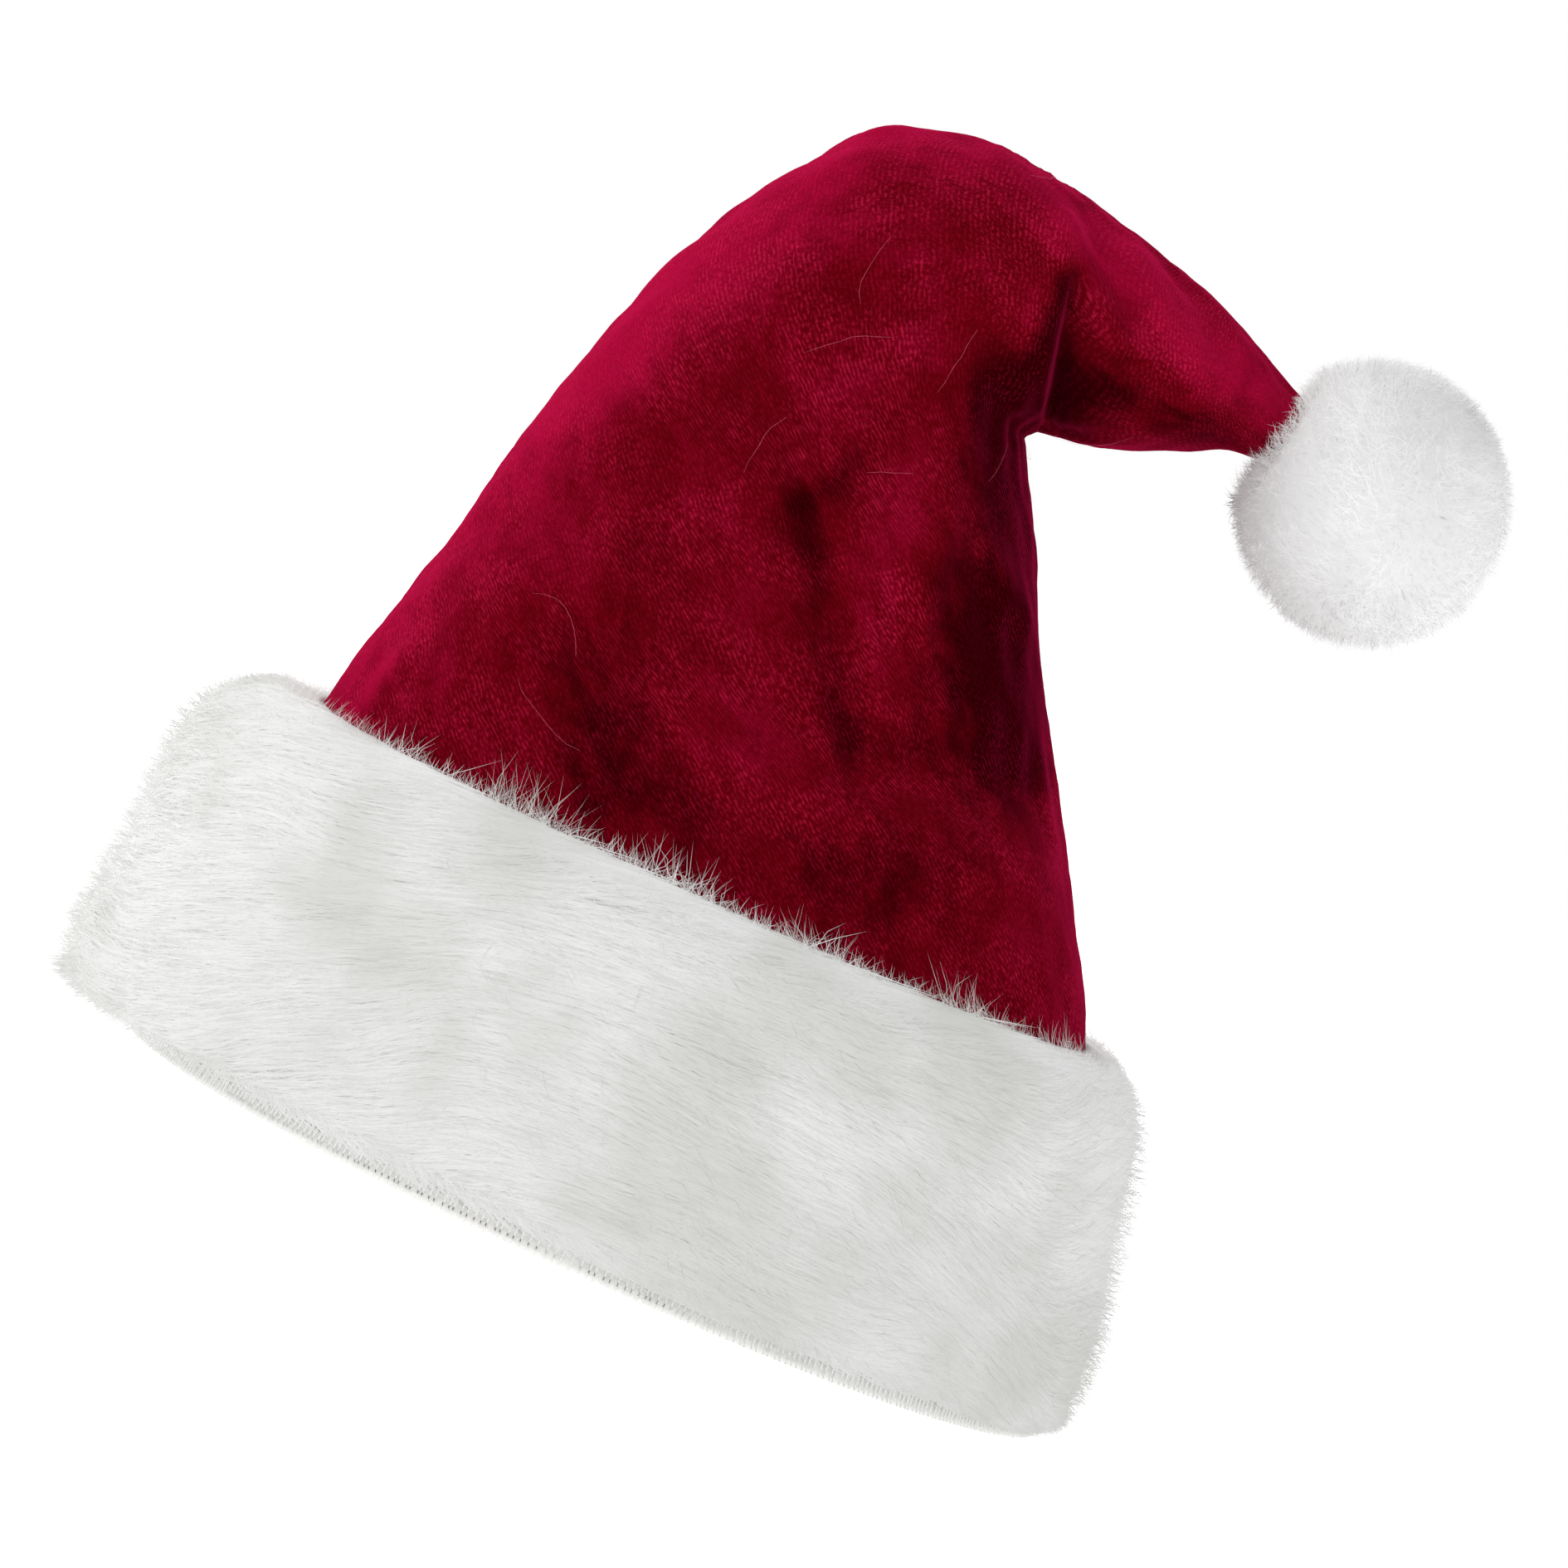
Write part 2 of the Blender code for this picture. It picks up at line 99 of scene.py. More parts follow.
# Folds of the velvet, in millimetres in the front view: from start to end, half as wide as half_width, and as
# high as height, less than 0 for a valley. The first rows of each side are the folds that the solid has too.
Fold = namedtuple("Fold", "x z end_x end_z half_width height")
FRONT_FOLDS = (
    Fold(-14.3, 267.4, 5.0, 259.1, 5.0, 2.0),
    Fold(5.0, 258.2, 28.0, 241.1, 4.4, 2.4),
    Fold(9.9, 265.6, 29.7, 246.2, 3.4, -2.4),
    Fold(23.1, 260.0, 52.3, 239.8, 5.0, 2.2),
    Fold(28.6, 266.5, 48.4, 250.8, 3.6, -2.0),
    Fold(-4.0, 216.8, 6.0, 180.0, 8.8, 3.2),
    Fold(6.0, 180.0, 14.0, 143.2, 8.8, 3.2),
    Fold(-22.0, 176.3, 11.0, 133.1, 5.0, -2.0),
    Fold(20.9, 183.7, 39.6, 172.6, 4.6, 1.8),
    Fold(-12.1, 116.5, 58.3, 118.0, 9.9, 3.0),
    Fold(17.6, 131.2, 51.7, 138.6, 8.8, -3.2),
    Fold(-77.0, 150.6, -44.0, 200.2, 14.3, -2.4),
    Fold(-61.6, 124.8, -37.4, 97.2, 12.1, -2.4),
    Fold(7.6, 252.0, 8.4, 236.0, 2.6, 1.1),
    Fold(8.4, 236.0, 13.0, 219.0, 2.6, 1.3),
    Fold(13.5, 250.0, 14.5, 236.0, 3.0, -1.8),
    Fold(14.5, 236.0, 19.5, 219.0, 2.8, -1.3),
    Fold(47.0, 256.0, 56.0, 250.5, 2.6, 0.9),
    Fold(60.0, 250.0, 60.0, 242.0, 1.8, -0.9),
    Fold(57.3, 248.0, 57.3, 238.0, 2.0, 0.9),
    Fold(66.0, 250.0, 71.0, 241.0, 1.8, -0.7),
    Fold(64.0, 236.0, 71.0, 237.0, 1.8, 0.7),
    Fold(56.0, 232.0, 57.0, 230.0, 3.0, -1.0),
    Fold(36.0, 226.0, 39.0, 222.0, 4.0, -0.8),
    Fold(-22.0, 176.0, -8.0, 160.0, 2.0, -0.8),
    Fold(-8.0, 160.0, 11.0, 133.0, 2.0, -0.8),
    Fold(21.0, 184.0, 38.7, 172.0, 2.2, 0.7),
    Fold(-4.0, 123.0, 19.0, 136.0, 5.0, 0.9),
    Fold(-91.0, 113.0, -94.0, 92.0, 2.2, 1.2),
    Fold(-97.0, 106.0, -99.0, 88.0, 2.2, -1.2),
    Fold(-89.5, 125.0, -90.5, 92.0, 3.4, -0.9),
    Fold(-30.0, 229.0, -29.0, 225.0, 4.0, -0.7),
    Fold(-26.0, 195.0, -25.0, 191.0, 4.5, -0.7),
    Fold(-8.5, 195.0, -7.5, 192.0, 3.5, -0.6),
)
BACK_FOLDS = (
    Fold(-61.6, 202.1, -19.8, 124.8, 12.1, -3.2),
    Fold(-27.5, 216.8, 26.4, 121.1, 9.9, 3.0),
    Fold(13.2, 191.0, 51.7, 126.6, 8.8, -2.4),
    Fold(-19.8, 262.8, 14.3, 244.4, 6.6, 2.4),
    Fold(17.6, 261.0, 44.0, 240.7, 5.5, -2.2),
    Fold(-77.0, 111.9, -22.0, 119.3, 9.9, 2.4),
    Fold(-20.0, 180.0, 8.0, 140.0, 3.0, -0.9),
    Fold(20.0, 150.0, 44.0, 112.0, 3.0, 0.9),
    Fold(-84.0, 112.0, -88.0, 92.0, 2.4, 1.1),
    Fold(60.0, 249.0, 70.0, 241.0, 2.0, -0.8),
)

# Painted light and shade on the velvet, given as the folds are: where its colour is painted lighter, as
# painted sheen, or darker, as painted shade, on the lit left and top, beside the bend, in its creases and low
# down. The height is how much lighter it is painted there, less than 0 for darker.
FRONT_PAINTED_LIGHT = (
    Fold(-106.0, 96.0, -84.0, 190.0, 15.0, 0.40),
    Fold(-84.0, 190.0, -54.0, 248.0, 16.0, 0.40),
    Fold(-46.0, 264.0, 0.0, 272.0, 9.0, 0.30),
    Fold(14.0, 218.0, 36.0, 165.0, 16.0, -0.40),
    Fold(36.0, 165.0, 46.0, 138.0, 13.0, -0.28),
    Fold(-30.0, 104.0, 34.0, 106.0, 13.0, -0.17),
    Fold(-8.0, 214.0, -18.0, 182.0, 5.0, -0.16),
    Fold(-22.0, 176.0, 11.0, 133.0, 6.0, -0.18),
    Fold(-60.0, 125.0, -37.0, 97.0, 8.0, -0.16),
    Fold(-48.0, 150.0, -40.0, 118.0, 10.0, -0.12),
    Fold(0.0, 122.0, 60.0, 120.0, 7.0, -0.10),
    Fold(12.0, 262.0, 70.0, 244.0, 9.0, 0.40),
    Fold(14.0, 228.0, 60.0, 233.0, 5.0, -0.24),
    Fold(12.0, 252.0, 18.0, 226.0, 4.0, -0.26),
)
# Painted light and shade on the back of the velvet.
BACK_PAINTED_LIGHT = (
    Fold(-104.0, 96.0, -60.0, 236.0, 16.0, 0.30),
    Fold(10.0, 222.0, 44.0, 120.0, 16.0, -0.26),
    Fold(-40.0, 190.0, -20.0, 120.0, 9.0, -0.16),
    Fold(-10.0, 262.0, 60.0, 246.0, 7.0, 0.16),
    Fold(-30.0, 225.0, -6.0, 170.0, 8.0, 0.12),
)

# The pile's outline over the height of the cuff, as shares of the cuff's height and of the pile's depth.
PILE_OUTLINE = (
    (0.00, 0.26), (0.04, 0.44), (0.10, 0.66), (0.20, 0.81), (0.32, 0.88), (0.50, 0.94), (0.68, 0.99),
    (0.80, 0.99), (0.88, 0.94), (0.94, 0.80), (1.00, 0.48), (1.05, 0.18), (1.10, 0.06),
)
PILE_ROUNDING = (-0.04, -0.02, 0.0, 0.02, 0.04)
LEFT_FULLNESS = ((0.00, 0.26), (0.10, 0.22), (0.20, 0.13), (0.35, 0.05), (0.50, 0.00))
pile_body_share = 0.80

# The way the fur lies on the front of the cuff: a place, across and up in millimetres, and how steeply the
# tips climb there, in degrees up from the way round the cuff.
Nap = namedtuple("Nap", "across up climb")
FRONT_NAP = (
    Nap(-120, 86, 15), Nap(-87, 74, 3), Nap(-85, 67, 8), Nap(-106, 50, 20), Nap(-75, 39, 30),
    Nap(-54, 31, 40),
    Nap(-92, 24, 25), Nap(-64, 50, 25), Nap(-45, 55, 12), Nap(-26, 55, 8), Nap(-16, 41, -10), Nap(-16, 27, 5),
    Nap(-64, 14, 25), Nap(-30, 17, 25), Nap(-10, 69, 0), Nap(18, 76, -3), Nap(33, 79, 5), Nap(56, 79, 30),
    Nap(33, 66, -5), Nap(8, 55, 10), Nap(28, 52, -5), Nap(65, 62, -25), Nap(46, 41, -5), Nap(18, 36, -5),
    Nap(75, 41, -24), Nap(94, 27, -40), Nap(103, 50, 35), Nap(75, 12, 25), Nap(46, 17, -5), Nap(-40, 86, 22),
    Nap(-75, 88, 20), Nap(5, 88, 12),
)
nap_reach = 0.015
loose_edge = 0.009

# How many strands each piece of fur has, and the stations along a strand.
CUFF_SPANS = (
    ("cuff_strands_left", 165, 232),
    ("cuff_strands_front", 232, 308),
    ("cuff_strands_right", 308, 375),
    ("cuff_strands_back_right", 15, 90),
    ("cuff_strands_back_left", 90, 165),
)
cuff_strands = 98000
pompom_strands = 25000
fuzz_strands = 17000
fringe_hairs = 14000
rim_wisps = 9000
stray_hairs = 3000
loose_hairs = 30
strand_width = 0.00027
STATIONS = np.array((0.0, 0.34, 0.68, 1.0))
SHORT_STATIONS = np.array((0.0, 0.5, 1.0))
STATION_WIDTHS = {4: np.array((0.75, 1.0, 0.66)), 3: np.array((0.85, 0.9))}
ribbon_scatter = 0.08
shading_scatter = 0.04
# Painted light: the glow that a strand's far side gives off, standing in for light that comes through it.
painted_far_side_glow = (0.33, 0.33, 0.33, 1)
# The share of the fur's strands that keep light off the others. It reaches through the rest, as in real fur.
shading_share = 0.34

# Sizes worked out from those above.
rim_slope = (opening_width / 2 * (1 - CROWN_SECTIONS[0].inner)) / cuff_height
slant = math.sqrt(1 + rim_slope * rim_slope)
inner_layers = (facing_wall + velvet_wall) * slant + layer_gap
hem_outer = layer_gap + backing_wall + hem_roll
layers_start = hem_height + layer_gap
crown_start = layers_start + velvet_wall * rim_slope / slant
pompom_core = pompom_diameter / 2 - pompom_pile


# Shapes that the pieces share

def soft_step(value):
    """A smooth rise from 0 to 1 as the value goes from 0 to 1."""
    value = np.clip(value, 0.0, 1.0)
    return value * value * (3.0 - 2.0 * value)


def unit(vectors):
    """The vectors at a length of 1."""
    return vectors / np.maximum(np.linalg.norm(vectors, axis=-1, keepdims=True), 1e-12)


def ripple(first, second, seed, length):
    """A smooth random wave over two coordinates, from about -1 to 1, with features as long as length."""
    draw = np.random.default_rng(seed)
    total = 0.0
    for _ in range(6):
        turn = draw.uniform(0, 2 * math.pi)
        pitch = 2 * math.pi / (length * draw.uniform(0.7, 1.6))
        way = first * math.cos(turn) + second * math.sin(turn)
        total = total + np.sin(way * pitch + draw.uniform(0, 6.3))
    return total / 3.0


def loop_shares(angle):
    """Where an angle lies on a section, along it and across it, each from -1 to 1."""
    power = 2.0 / squareness
    along, across = np.cos(angle), np.sin(angle)
    return np.sign(along) * np.abs(along) ** power, np.sign(across) * np.abs(across) ** power


def real_section(section):
    """A section's shares as real lengths."""
    half_width, rise = opening_width / 2, crown_height - cuff_height
    return np.array((
        section.outer * half_width, cuff_height + section.outer_rise * rise, section.inner * half_width,
        cuff_height + section.inner_rise * rise, section.half_depth * opening_depth / 2, section.press,
    ))


def cuff_section(height):
    """The crown's outer face inside the cuff: its middle, half width and half depth at a height."""
    top = real_section(CROWN_SECTIONS[0])
    half_width = opening_width / 2 + inner_layers
    share = np.asarray(height) / cuff_height
    outer = -half_width + (top[0] + half_width) * share
    inner = half_width + (top[2] - half_width) * share
    depth = opening_depth / 2 + inner_layers
    return (outer + inner) / 2, (inner - outer) / 2, depth + (top[4] - depth) * share


def wall_point(height, angle, out):
    """A point a level distance outside the crown's outer face, inside the cuff."""
    middle, half, depth = cuff_section(height)
    along, across = loop_shares(angle)
    outward = unit(np.stack((along / half, across / depth), axis=-1))
    x = middle + half * along + outward[..., 0] * out
    y = depth * across + outward[..., 1] * out
    return np.stack((x, y, height + 0 * x), axis=-1)


def pile_depth(angle):
    """The depth of the pile round the cuff, deepest on the side away from the tip."""
    towards = np.cos(angle)
    side = np.where(towards > 0, fur_depth_right, fur_depth_left)
    return fur_depth_front + (side - fur_depth_front) * towards * towards


def left_end(angle):
    """How near an angle is to the cuff's left end, from 0 to 1."""
    return np.clip(-np.cos(angle), 0, 1) ** 3


def pile_outline(share, angle):
    """The pile's depth at a share of the cuff's height, rounded off, and fuller to the rim on the left."""
    shares, depths = np.array(PILE_OUTLINE).T
    left_shares, fuller = np.array(LEFT_FULLNESS).T
    found = 0.0
    for shift in PILE_ROUNDING:
        found = found + np.interp(share + shift, shares, depths)
        found = found + left_end(angle) * np.interp(share + shift, left_shares, fuller)
    return found / len(PILE_ROUNDING)


def turns(count):
    """Evenly spaced angles round the hat, from its left end."""
    return math.pi + 2 * math.pi * np.arange(count) / count


# Meshes

def ring_edges(bm, ring):
    """The edges that join a closed ring of vertices."""
    return [bm.edges.get((vertex, following)) for vertex, following in zip(ring, ring[1:] + ring[:1])]


def draw_out(bm, ring):
    """Extrudes a closed ring of vertices once, and gives the new ring in the same order."""
    made = bmesh.ops.extrude_edge_only(bm, edges=ring_edges(bm, ring))["geom"]
    fresh = {part for part in made if isinstance(part, bmesh.types.BMVert)}
    return [next(edge.other_vert(v) for edge in v.link_edges if edge.other_vert(v) in fresh) for v in ring]


def loft(bm, rings):
    """A skin through rings of points, drawn out from a circle, with its vertices in ring order."""
    ring = bmesh.ops.create_circle(bm, cap_ends=False, radius=1.0, segments=len(rings[0]))["verts"]
    rows = []
    for index, points in enumerate(rings):
        if index:
            ring = draw_out(bm, ring)
        for vertex, point in zip(ring, points):
            vertex.co = point
        rows.append(ring)
    for index, vertex in enumerate(v for row in rows for v in row):
        vertex.index = index
    bm.verts.sort()
    bm.verts.ensure_lookup_table()
    return rows


def close_section(bm, rows):
    """Joins the last ring of a loft to the first, for a wall that is closed both ways."""
    bmesh.ops.bridge_loops(bm, edges=ring_edges(bm, rows[0]) + ring_edges(bm, rows[-1]))


def add_piece(name, bm, material, replaces=()):
    """A named piece of the hat, which rides on its body and wears its material."""
    mesh = bpy.data.meshes.new(name)
    bm.to_mesh(mesh)
    bm.free()
    mesh.shade_smooth()
    return dress(name, mesh, material, replaces)


def dress(name, mesh, material, replaces=()):
    """A piece from a finished mesh, with its material and body, hiding the solids that it replaces."""
    piece = bpy.data.objects.new(name, mesh)
    bpy.context.scene.collection.objects.link(piece)
    mesh.materials.append(material)
    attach(piece, BODY)
    if replaces:
        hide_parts(*replaces)
    return piece


def ring_wall(name, outline_at, around, material, replaces=()):
    """A closed wall round the opening. outline_at gives its rings of points for an array of angles."""
    bm = bmesh.new()
    rows = loft(bm, outline_at(turns(around)))
    close_section(bm, rows)
    bmesh.ops.recalc_face_normals(bm, faces=bm.faces)
    return add_piece(name, bm, material, replaces)


# Velvet crown

wale_slant = -0.666
crown_around = 184
crown_spacing = 0.0021


def crown_sections():
    """The crown's sections from the hem to the tip, close enough together for its smallest folds."""
    rows = [real_section(section) for section in CROWN_SECTIONS]
    top, half_width = rows[0], opening_width / 2 + inner_layers
    rim = np.array((-half_width, 0.0, half_width, 0.0, opening_depth / 2 + inner_layers, 0.0))
    heights = np.linspace(crown_start, cuff_height, 12, endpoint=False)
    found = [rim + (top - rim) * height / cuff_height for height in heights]
    for index in range(len(rows) - 1):
        start, end = rows[index], rows[index + 1]
        before = rows[index - 1] if index else rim + (top - rim) * 0.5
        after = rows[min(index + 2, len(rows) - 1)]
        length = math.hypot(end[0] - start[0], end[1] - start[1])
        steps = max(4, round(length / crown_spacing))
        for t in np.arange(steps) / steps:
            bend, twist = 2 * before - 5 * start + 4 * end - after, 3 * start - 3 * end + after - before
            found.append(0.5 * (2 * start + (end - before) * t + bend * t**2 + twist * t**3))
    found.append(rows[-1])
    return np.array(found)


def fold_height(x, z, folds):
    """How far the folds lift the velvet at places in the front view."""
    total = np.zeros_like(x)
    for fold in folds:
        start = np.array((fold.x, fold.z)) / 1000
        along = np.array((fold.end_x, fold.end_z)) / 1000 - start
        share = ((x - start[0]) * along[0] + (z - start[1]) * along[1]) / (along @ along)
        share = np.clip(share, 0, 1)
        distance = np.hypot(x - start[0] - along[0] * share, z - start[1] - along[1] * share)
        total += fold.height / 1000 * np.exp(-((distance * 1000 / fold.half_width) ** 2))
    return total


def crown_grid(sections, angles):
    """The points of the crown's outer face: a ring for each section."""
    outer, outer_rise, inner, inner_rise, depth, press = (sections[:, i, None] for i in range(6))
    along, across = loop_shares(angles)
    half_x, half_z = (inner - outer) / 2, (inner_rise - outer_rise) / 2
    half = np.hypot(half_x, half_z)
    x = (outer + inner) / 2 + half_x * along
    z = (outer_rise + inner_rise) / 2 + half_z * along
    front = across < 0
    pressed = press * np.where(front, 1.0, press_back_share)
    y = depth * (1 - pressed * soft_step((along - press_start) / (1 - press_start))) * across
    lift = np.where(front, fold_height(x, z, FRONT_FOLDS), fold_height(x, z, BACK_FOLDS))
    above_cuff = soft_step((z - cuff_height) / (crown_height - cuff_height) / fold_fade_rise)
    lift = lift * soft_step(np.abs(across) / fold_edge_share)
    turn = np.arctan2(y, x)
    lift = lift + 0.00045 * ripple(x + 0.05 * turn, z + 2 * y, 11, 0.030)
    lift = lift + 0.00016 * ripple(x, z + y, 12, 0.009)
    lift = lift * above_cuff
    outward = unit(np.stack((half_x / half * along / half, across / depth, half_z / half * along / half), -1))
    return np.stack((x, y, z), -1) + outward * lift[..., None]


def lay_cloth_map(mesh, grid):
    """Gives the crown a map of real lengths: round it from the inside of the bend, and along it."""
    rows, count, _ = grid.shape
    wrapped = np.concatenate((grid, grid[:, :1]), axis=1)
    steps = np.linalg.norm(np.diff(wrapped, axis=1), axis=2)
    across = np.concatenate((np.zeros((rows, 1)), np.cumsum(steps, axis=1)), axis=1)
    across -= across[:, count // 2, None]
    climb = np.linalg.norm(np.diff(wrapped, axis=0), axis=2)
    along = np.concatenate((np.zeros((1, count + 1)), np.cumsum(climb, axis=0)))
    corner = np.empty(len(mesh.loops), np.int32)
    mesh.loops.foreach_get("vertex_index", corner)
    first = np.empty(len(mesh.polygons), np.int32)
    mesh.polygons.foreach_get("loop_start", first)
    corner = np.minimum(corner, rows * count - 1)
    row, column = corner // count, corner % count
    face = np.repeat(np.arange(len(first)), np.diff(np.append(first, len(corner))))
    last = np.maximum.reduceat(column, first)[face]
    column = np.where((column == 0) & (last == count - 1), count, column)
    places = np.stack((across[row, column], along[row, column]), -1)
    mesh.uv_layers.new(name="Cloth").data.foreach_set("uv", places.ravel().astype(np.float32))


def painted_fold_light(x, z, painted_light, folds):
    """How much lighter the velvet's colour is painted: painted sheen and shade where its pile lies over,
    painted light on the upper sides of its folds, which face the lamps, and on their crests, and painted
    shade in their valleys.
    """
    step, painted_upper_side_light, painted_crest_light = 0.0015, 60, 15
    upper = fold_height(x + step, z - step, folds) - fold_height(x - step, z + step, folds)
    in_millimetres = 1000 * fold_height(x, z, painted_light)
    return in_millimetres + painted_upper_side_light * upper + painted_crest_light * fold_height(x, z, folds)


def paint_pile_light(mesh, grid):
    """Marks the velvet's painted light and shade, from the way its pile lies and from its folds: from 0,
    painted darkest, as where the pile leans to the eye, to 1, painted lightest.
    """
    x, y, z = (grid[..., i] for i in range(3))
    front, back = painted_fold_light(x, z, FRONT_PAINTED_LIGHT, FRONT_FOLDS), painted_fold_light(x, z, BACK_PAINTED_LIGHT, BACK_FOLDS)
    share = soft_step(0.5 - y / 0.03)
    painted_light = 0.5 + back + (front - back) * share
    values = np.full(len(mesh.vertices), 0.5, np.float32)
    values[: painted_light.size] = np.clip(painted_light, 0, 1).ravel()
    mesh.attributes.new("PaintedLight", "FLOAT", "POINT").data.foreach_set("value", values)


def make_crown(velvet, velvet_back):
    """The velvet crown: one cloth wall from the hem to the closed tip, bent over to one side."""
    grid = crown_grid(crown_sections(), turns(crown_around))
    bm = bmesh.new()
    rows = loft(bm, grid)
    tip = bmesh.ops.contextual_create(bm, geom=ring_edges(bm, rows[-1]))
    bmesh.ops.poke(bm, faces=tip["faces"])
    bmesh.ops.recalc_face_normals(bm, faces=bm.faces)
    crown = add_piece("velvet_crown", bm, velvet, ["crown"])
    crown.data.materials.append(velvet_back)
    lay_cloth_map(crown.data, grid)
    paint_pile_light(crown.data, grid)
    wall = crown.modifiers.new("cloth wall", "SOLIDIFY")
    wall.thickness = velvet_wall
    wall.offset = -1.0
    wall.use_even_offset = True
    wall.thickness_clamp = 1.0
    wall.material_offset = 1
    return grid


# Facing, hem and stitches

def make_facing(cloth):
    """The facing inside the cuff: knit cloth with a turned lower edge and a sewn joint at the back."""
    outer = -velvet_wall * slant - layer_gap
    inner = outer - facing_wall * slant
    top = cuff_height - facing_drop
    seam_angle, seam_width, seam_rise = 0.98, 0.012, 0.0007

    def rings(angle):
        found = [wall_point(layers_start, angle, outer), wall_point(top, angle, outer)]
        for height in np.linspace(top, layers_start, 46):
            doubled = 0.0005 * soft_step((turned_edge - height) / 0.0012)
            seam = np.exp(-(((angle % (2 * math.pi) - seam_angle) / seam_width) ** 2))
            slack = 0.0003 * ripple(angle * 0.09, height + 0 * angle, 21, 0.030)
            out = inner - doubled + slack + seam_rise * seam - 0.0006
            rounding = -0.0005 * soft_step((height - top + 0.001) / 0.001)
            found.append(wall_point(height, angle, out - rounding))
        return found

    ring_wall("knit_facing", rings, 180, cloth, ["cuff_facing"])


def make_hem(cloth):
    """The rolled rim that closes the layers, flat where it rests."""
    half = (hem_outer + inner_layers + hem_roll) / 2
    middle = hem_outer - half
    corner = 2.6

    def rings(angle):
        found = []
        for turn in np.linspace(0, 2 * math.pi, 17)[:-1]:
            across, up = math.cos(turn), math.sin(turn)
            reach = (abs(across) ** corner + abs(up) ** corner) ** (-1 / corner)
            height = hem_height / 2 * (1 + up * reach)
            found.append(wall_point(height, angle, middle + half * across * reach))
        return found

    ring_wall("rim_roll", rings, 240, cloth, ["rim_hem"])


def thread_tubes(name, paths, radius, material, sides=5):
    """Many short threads as one mesh, each a thin tube along its row of points."""
    paths = np.asarray(paths)
    count, stations, _ = paths.shape
    tangent = unit(np.gradient(paths, axis=1))
    level = unit(np.cross(tangent, np.array((0.0, 0.0, 1.0)) + 1e-4))
    upright = np.cross(level, tangent)
    turn = 2 * math.pi * np.arange(sides) / sides
    thick = radius * np.array([0.55] + [1.0] * (stations - 2) + [0.55])
    ring = level[:, :, None] * np.cos(turn)[:, None] + upright[:, :, None] * np.sin(turn)[:, None]
    points = paths[:, :, None] + ring * thick[None, :, None, None]
    grid = np.arange(count * stations * sides).reshape(count, stations, sides)
    beside = np.roll(grid, -1, axis=2)
    quads = np.stack((grid[:, :-1], beside[:, :-1], beside[:, 1:], grid[:, 1:]), -1).reshape(-1, 4)
    caps = np.concatenate((grid[:, 0, ::-1], grid[:, -1])).reshape(-1, sides)
    return write_faces(name, points.reshape(-1, 3), (quads, caps), material)


def write_faces(name, points, kinds, material, maps=(), normals=None):
    """Writes arrays of points and of faces, each array with one number of corners, to a new piece."""
    mesh = bpy.data.meshes.new(name)
    corners = np.concatenate([kind.ravel() for kind in kinds]).astype(np.int32)
    sizes = np.concatenate([np.full(len(kind), kind.shape[1]) for kind in kinds])
    starts = np.concatenate(([0], np.cumsum(sizes)[:-1])).astype(np.int32)
    mesh.vertices.add(len(points))
    mesh.vertices.foreach_set("co", points.astype(np.float32).ravel())
    mesh.loops.add(len(corners))
    mesh.loops.foreach_set("vertex_index", corners)
    mesh.polygons.add(len(sizes))
    mesh.polygons.foreach_set("loop_start", starts)
    mesh.polygons.foreach_set("use_smooth", np.ones(len(sizes), bool))
    for map_name, values in maps:
        layer = mesh.uv_layers.new(name=map_name)
        layer.data.foreach_set("uv", values[corners].astype(np.float32).ravel())
    mesh.update(calc_edges=True)
    if normals is not None:
        mesh.normals_split_custom_set_from_vertices(normals.tolist())
    return dress(name, mesh, material)


def make_stitches(thread):
    """The overlock stitches over the rim: a slanted whip over the outer face and one over the inner face."""
    count = stitch_count
    angle = turns(count)[:, None]
    share = np.linspace(0, 1, 6)[None]
    lean = 0.35 * 2 * math.pi / count
    wander = 0.25 * 2 * math.pi / count * np.random.default_rng(5).uniform(-1, 1, (count, 1))
    height = 0.0006 + (hem_height + 0.0004) * share
    bulge = 0.0003 + 0.0004 * np.sin(math.pi * share)
    outer = wall_point(height + 0 * angle, angle + wander + lean * share, hem_outer + bulge)
    inner = wall_point(height + 0 * angle, angle + wander - lean * share, -inner_layers - hem_roll - bulge)
    chain_angle = turns(count)[:, None] + (0.9 * 2 * math.pi / count) * np.linspace(0, 1, 4)[None]
    lift = 0.0003 * np.sin(math.pi * np.linspace(0, 1, 4))[None]
    chain = wall_point(hem_height + 0.0005 + 0 * chain_angle, chain_angle, hem_outer - 0.0003 + lift)
    thread_tubes("rim_stitches_outer", outer, 0.00027, thread)
    thread_tubes("rim_stitches_inner", inner, 0.00025, thread)
    thread_tubes("rim_chain", chain, 0.00026, thread)


# Fur

def bake_layout(count):
    """Where each strand lies on the map that finishes are baked to: in a cell of its own."""
    wide = math.ceil(math.sqrt(count * 8))
    tall = math.ceil(count / wide)
    number = np.arange(count)
    return number % wide / wide, number // wide / tall, 1 / wide, 1 / tall


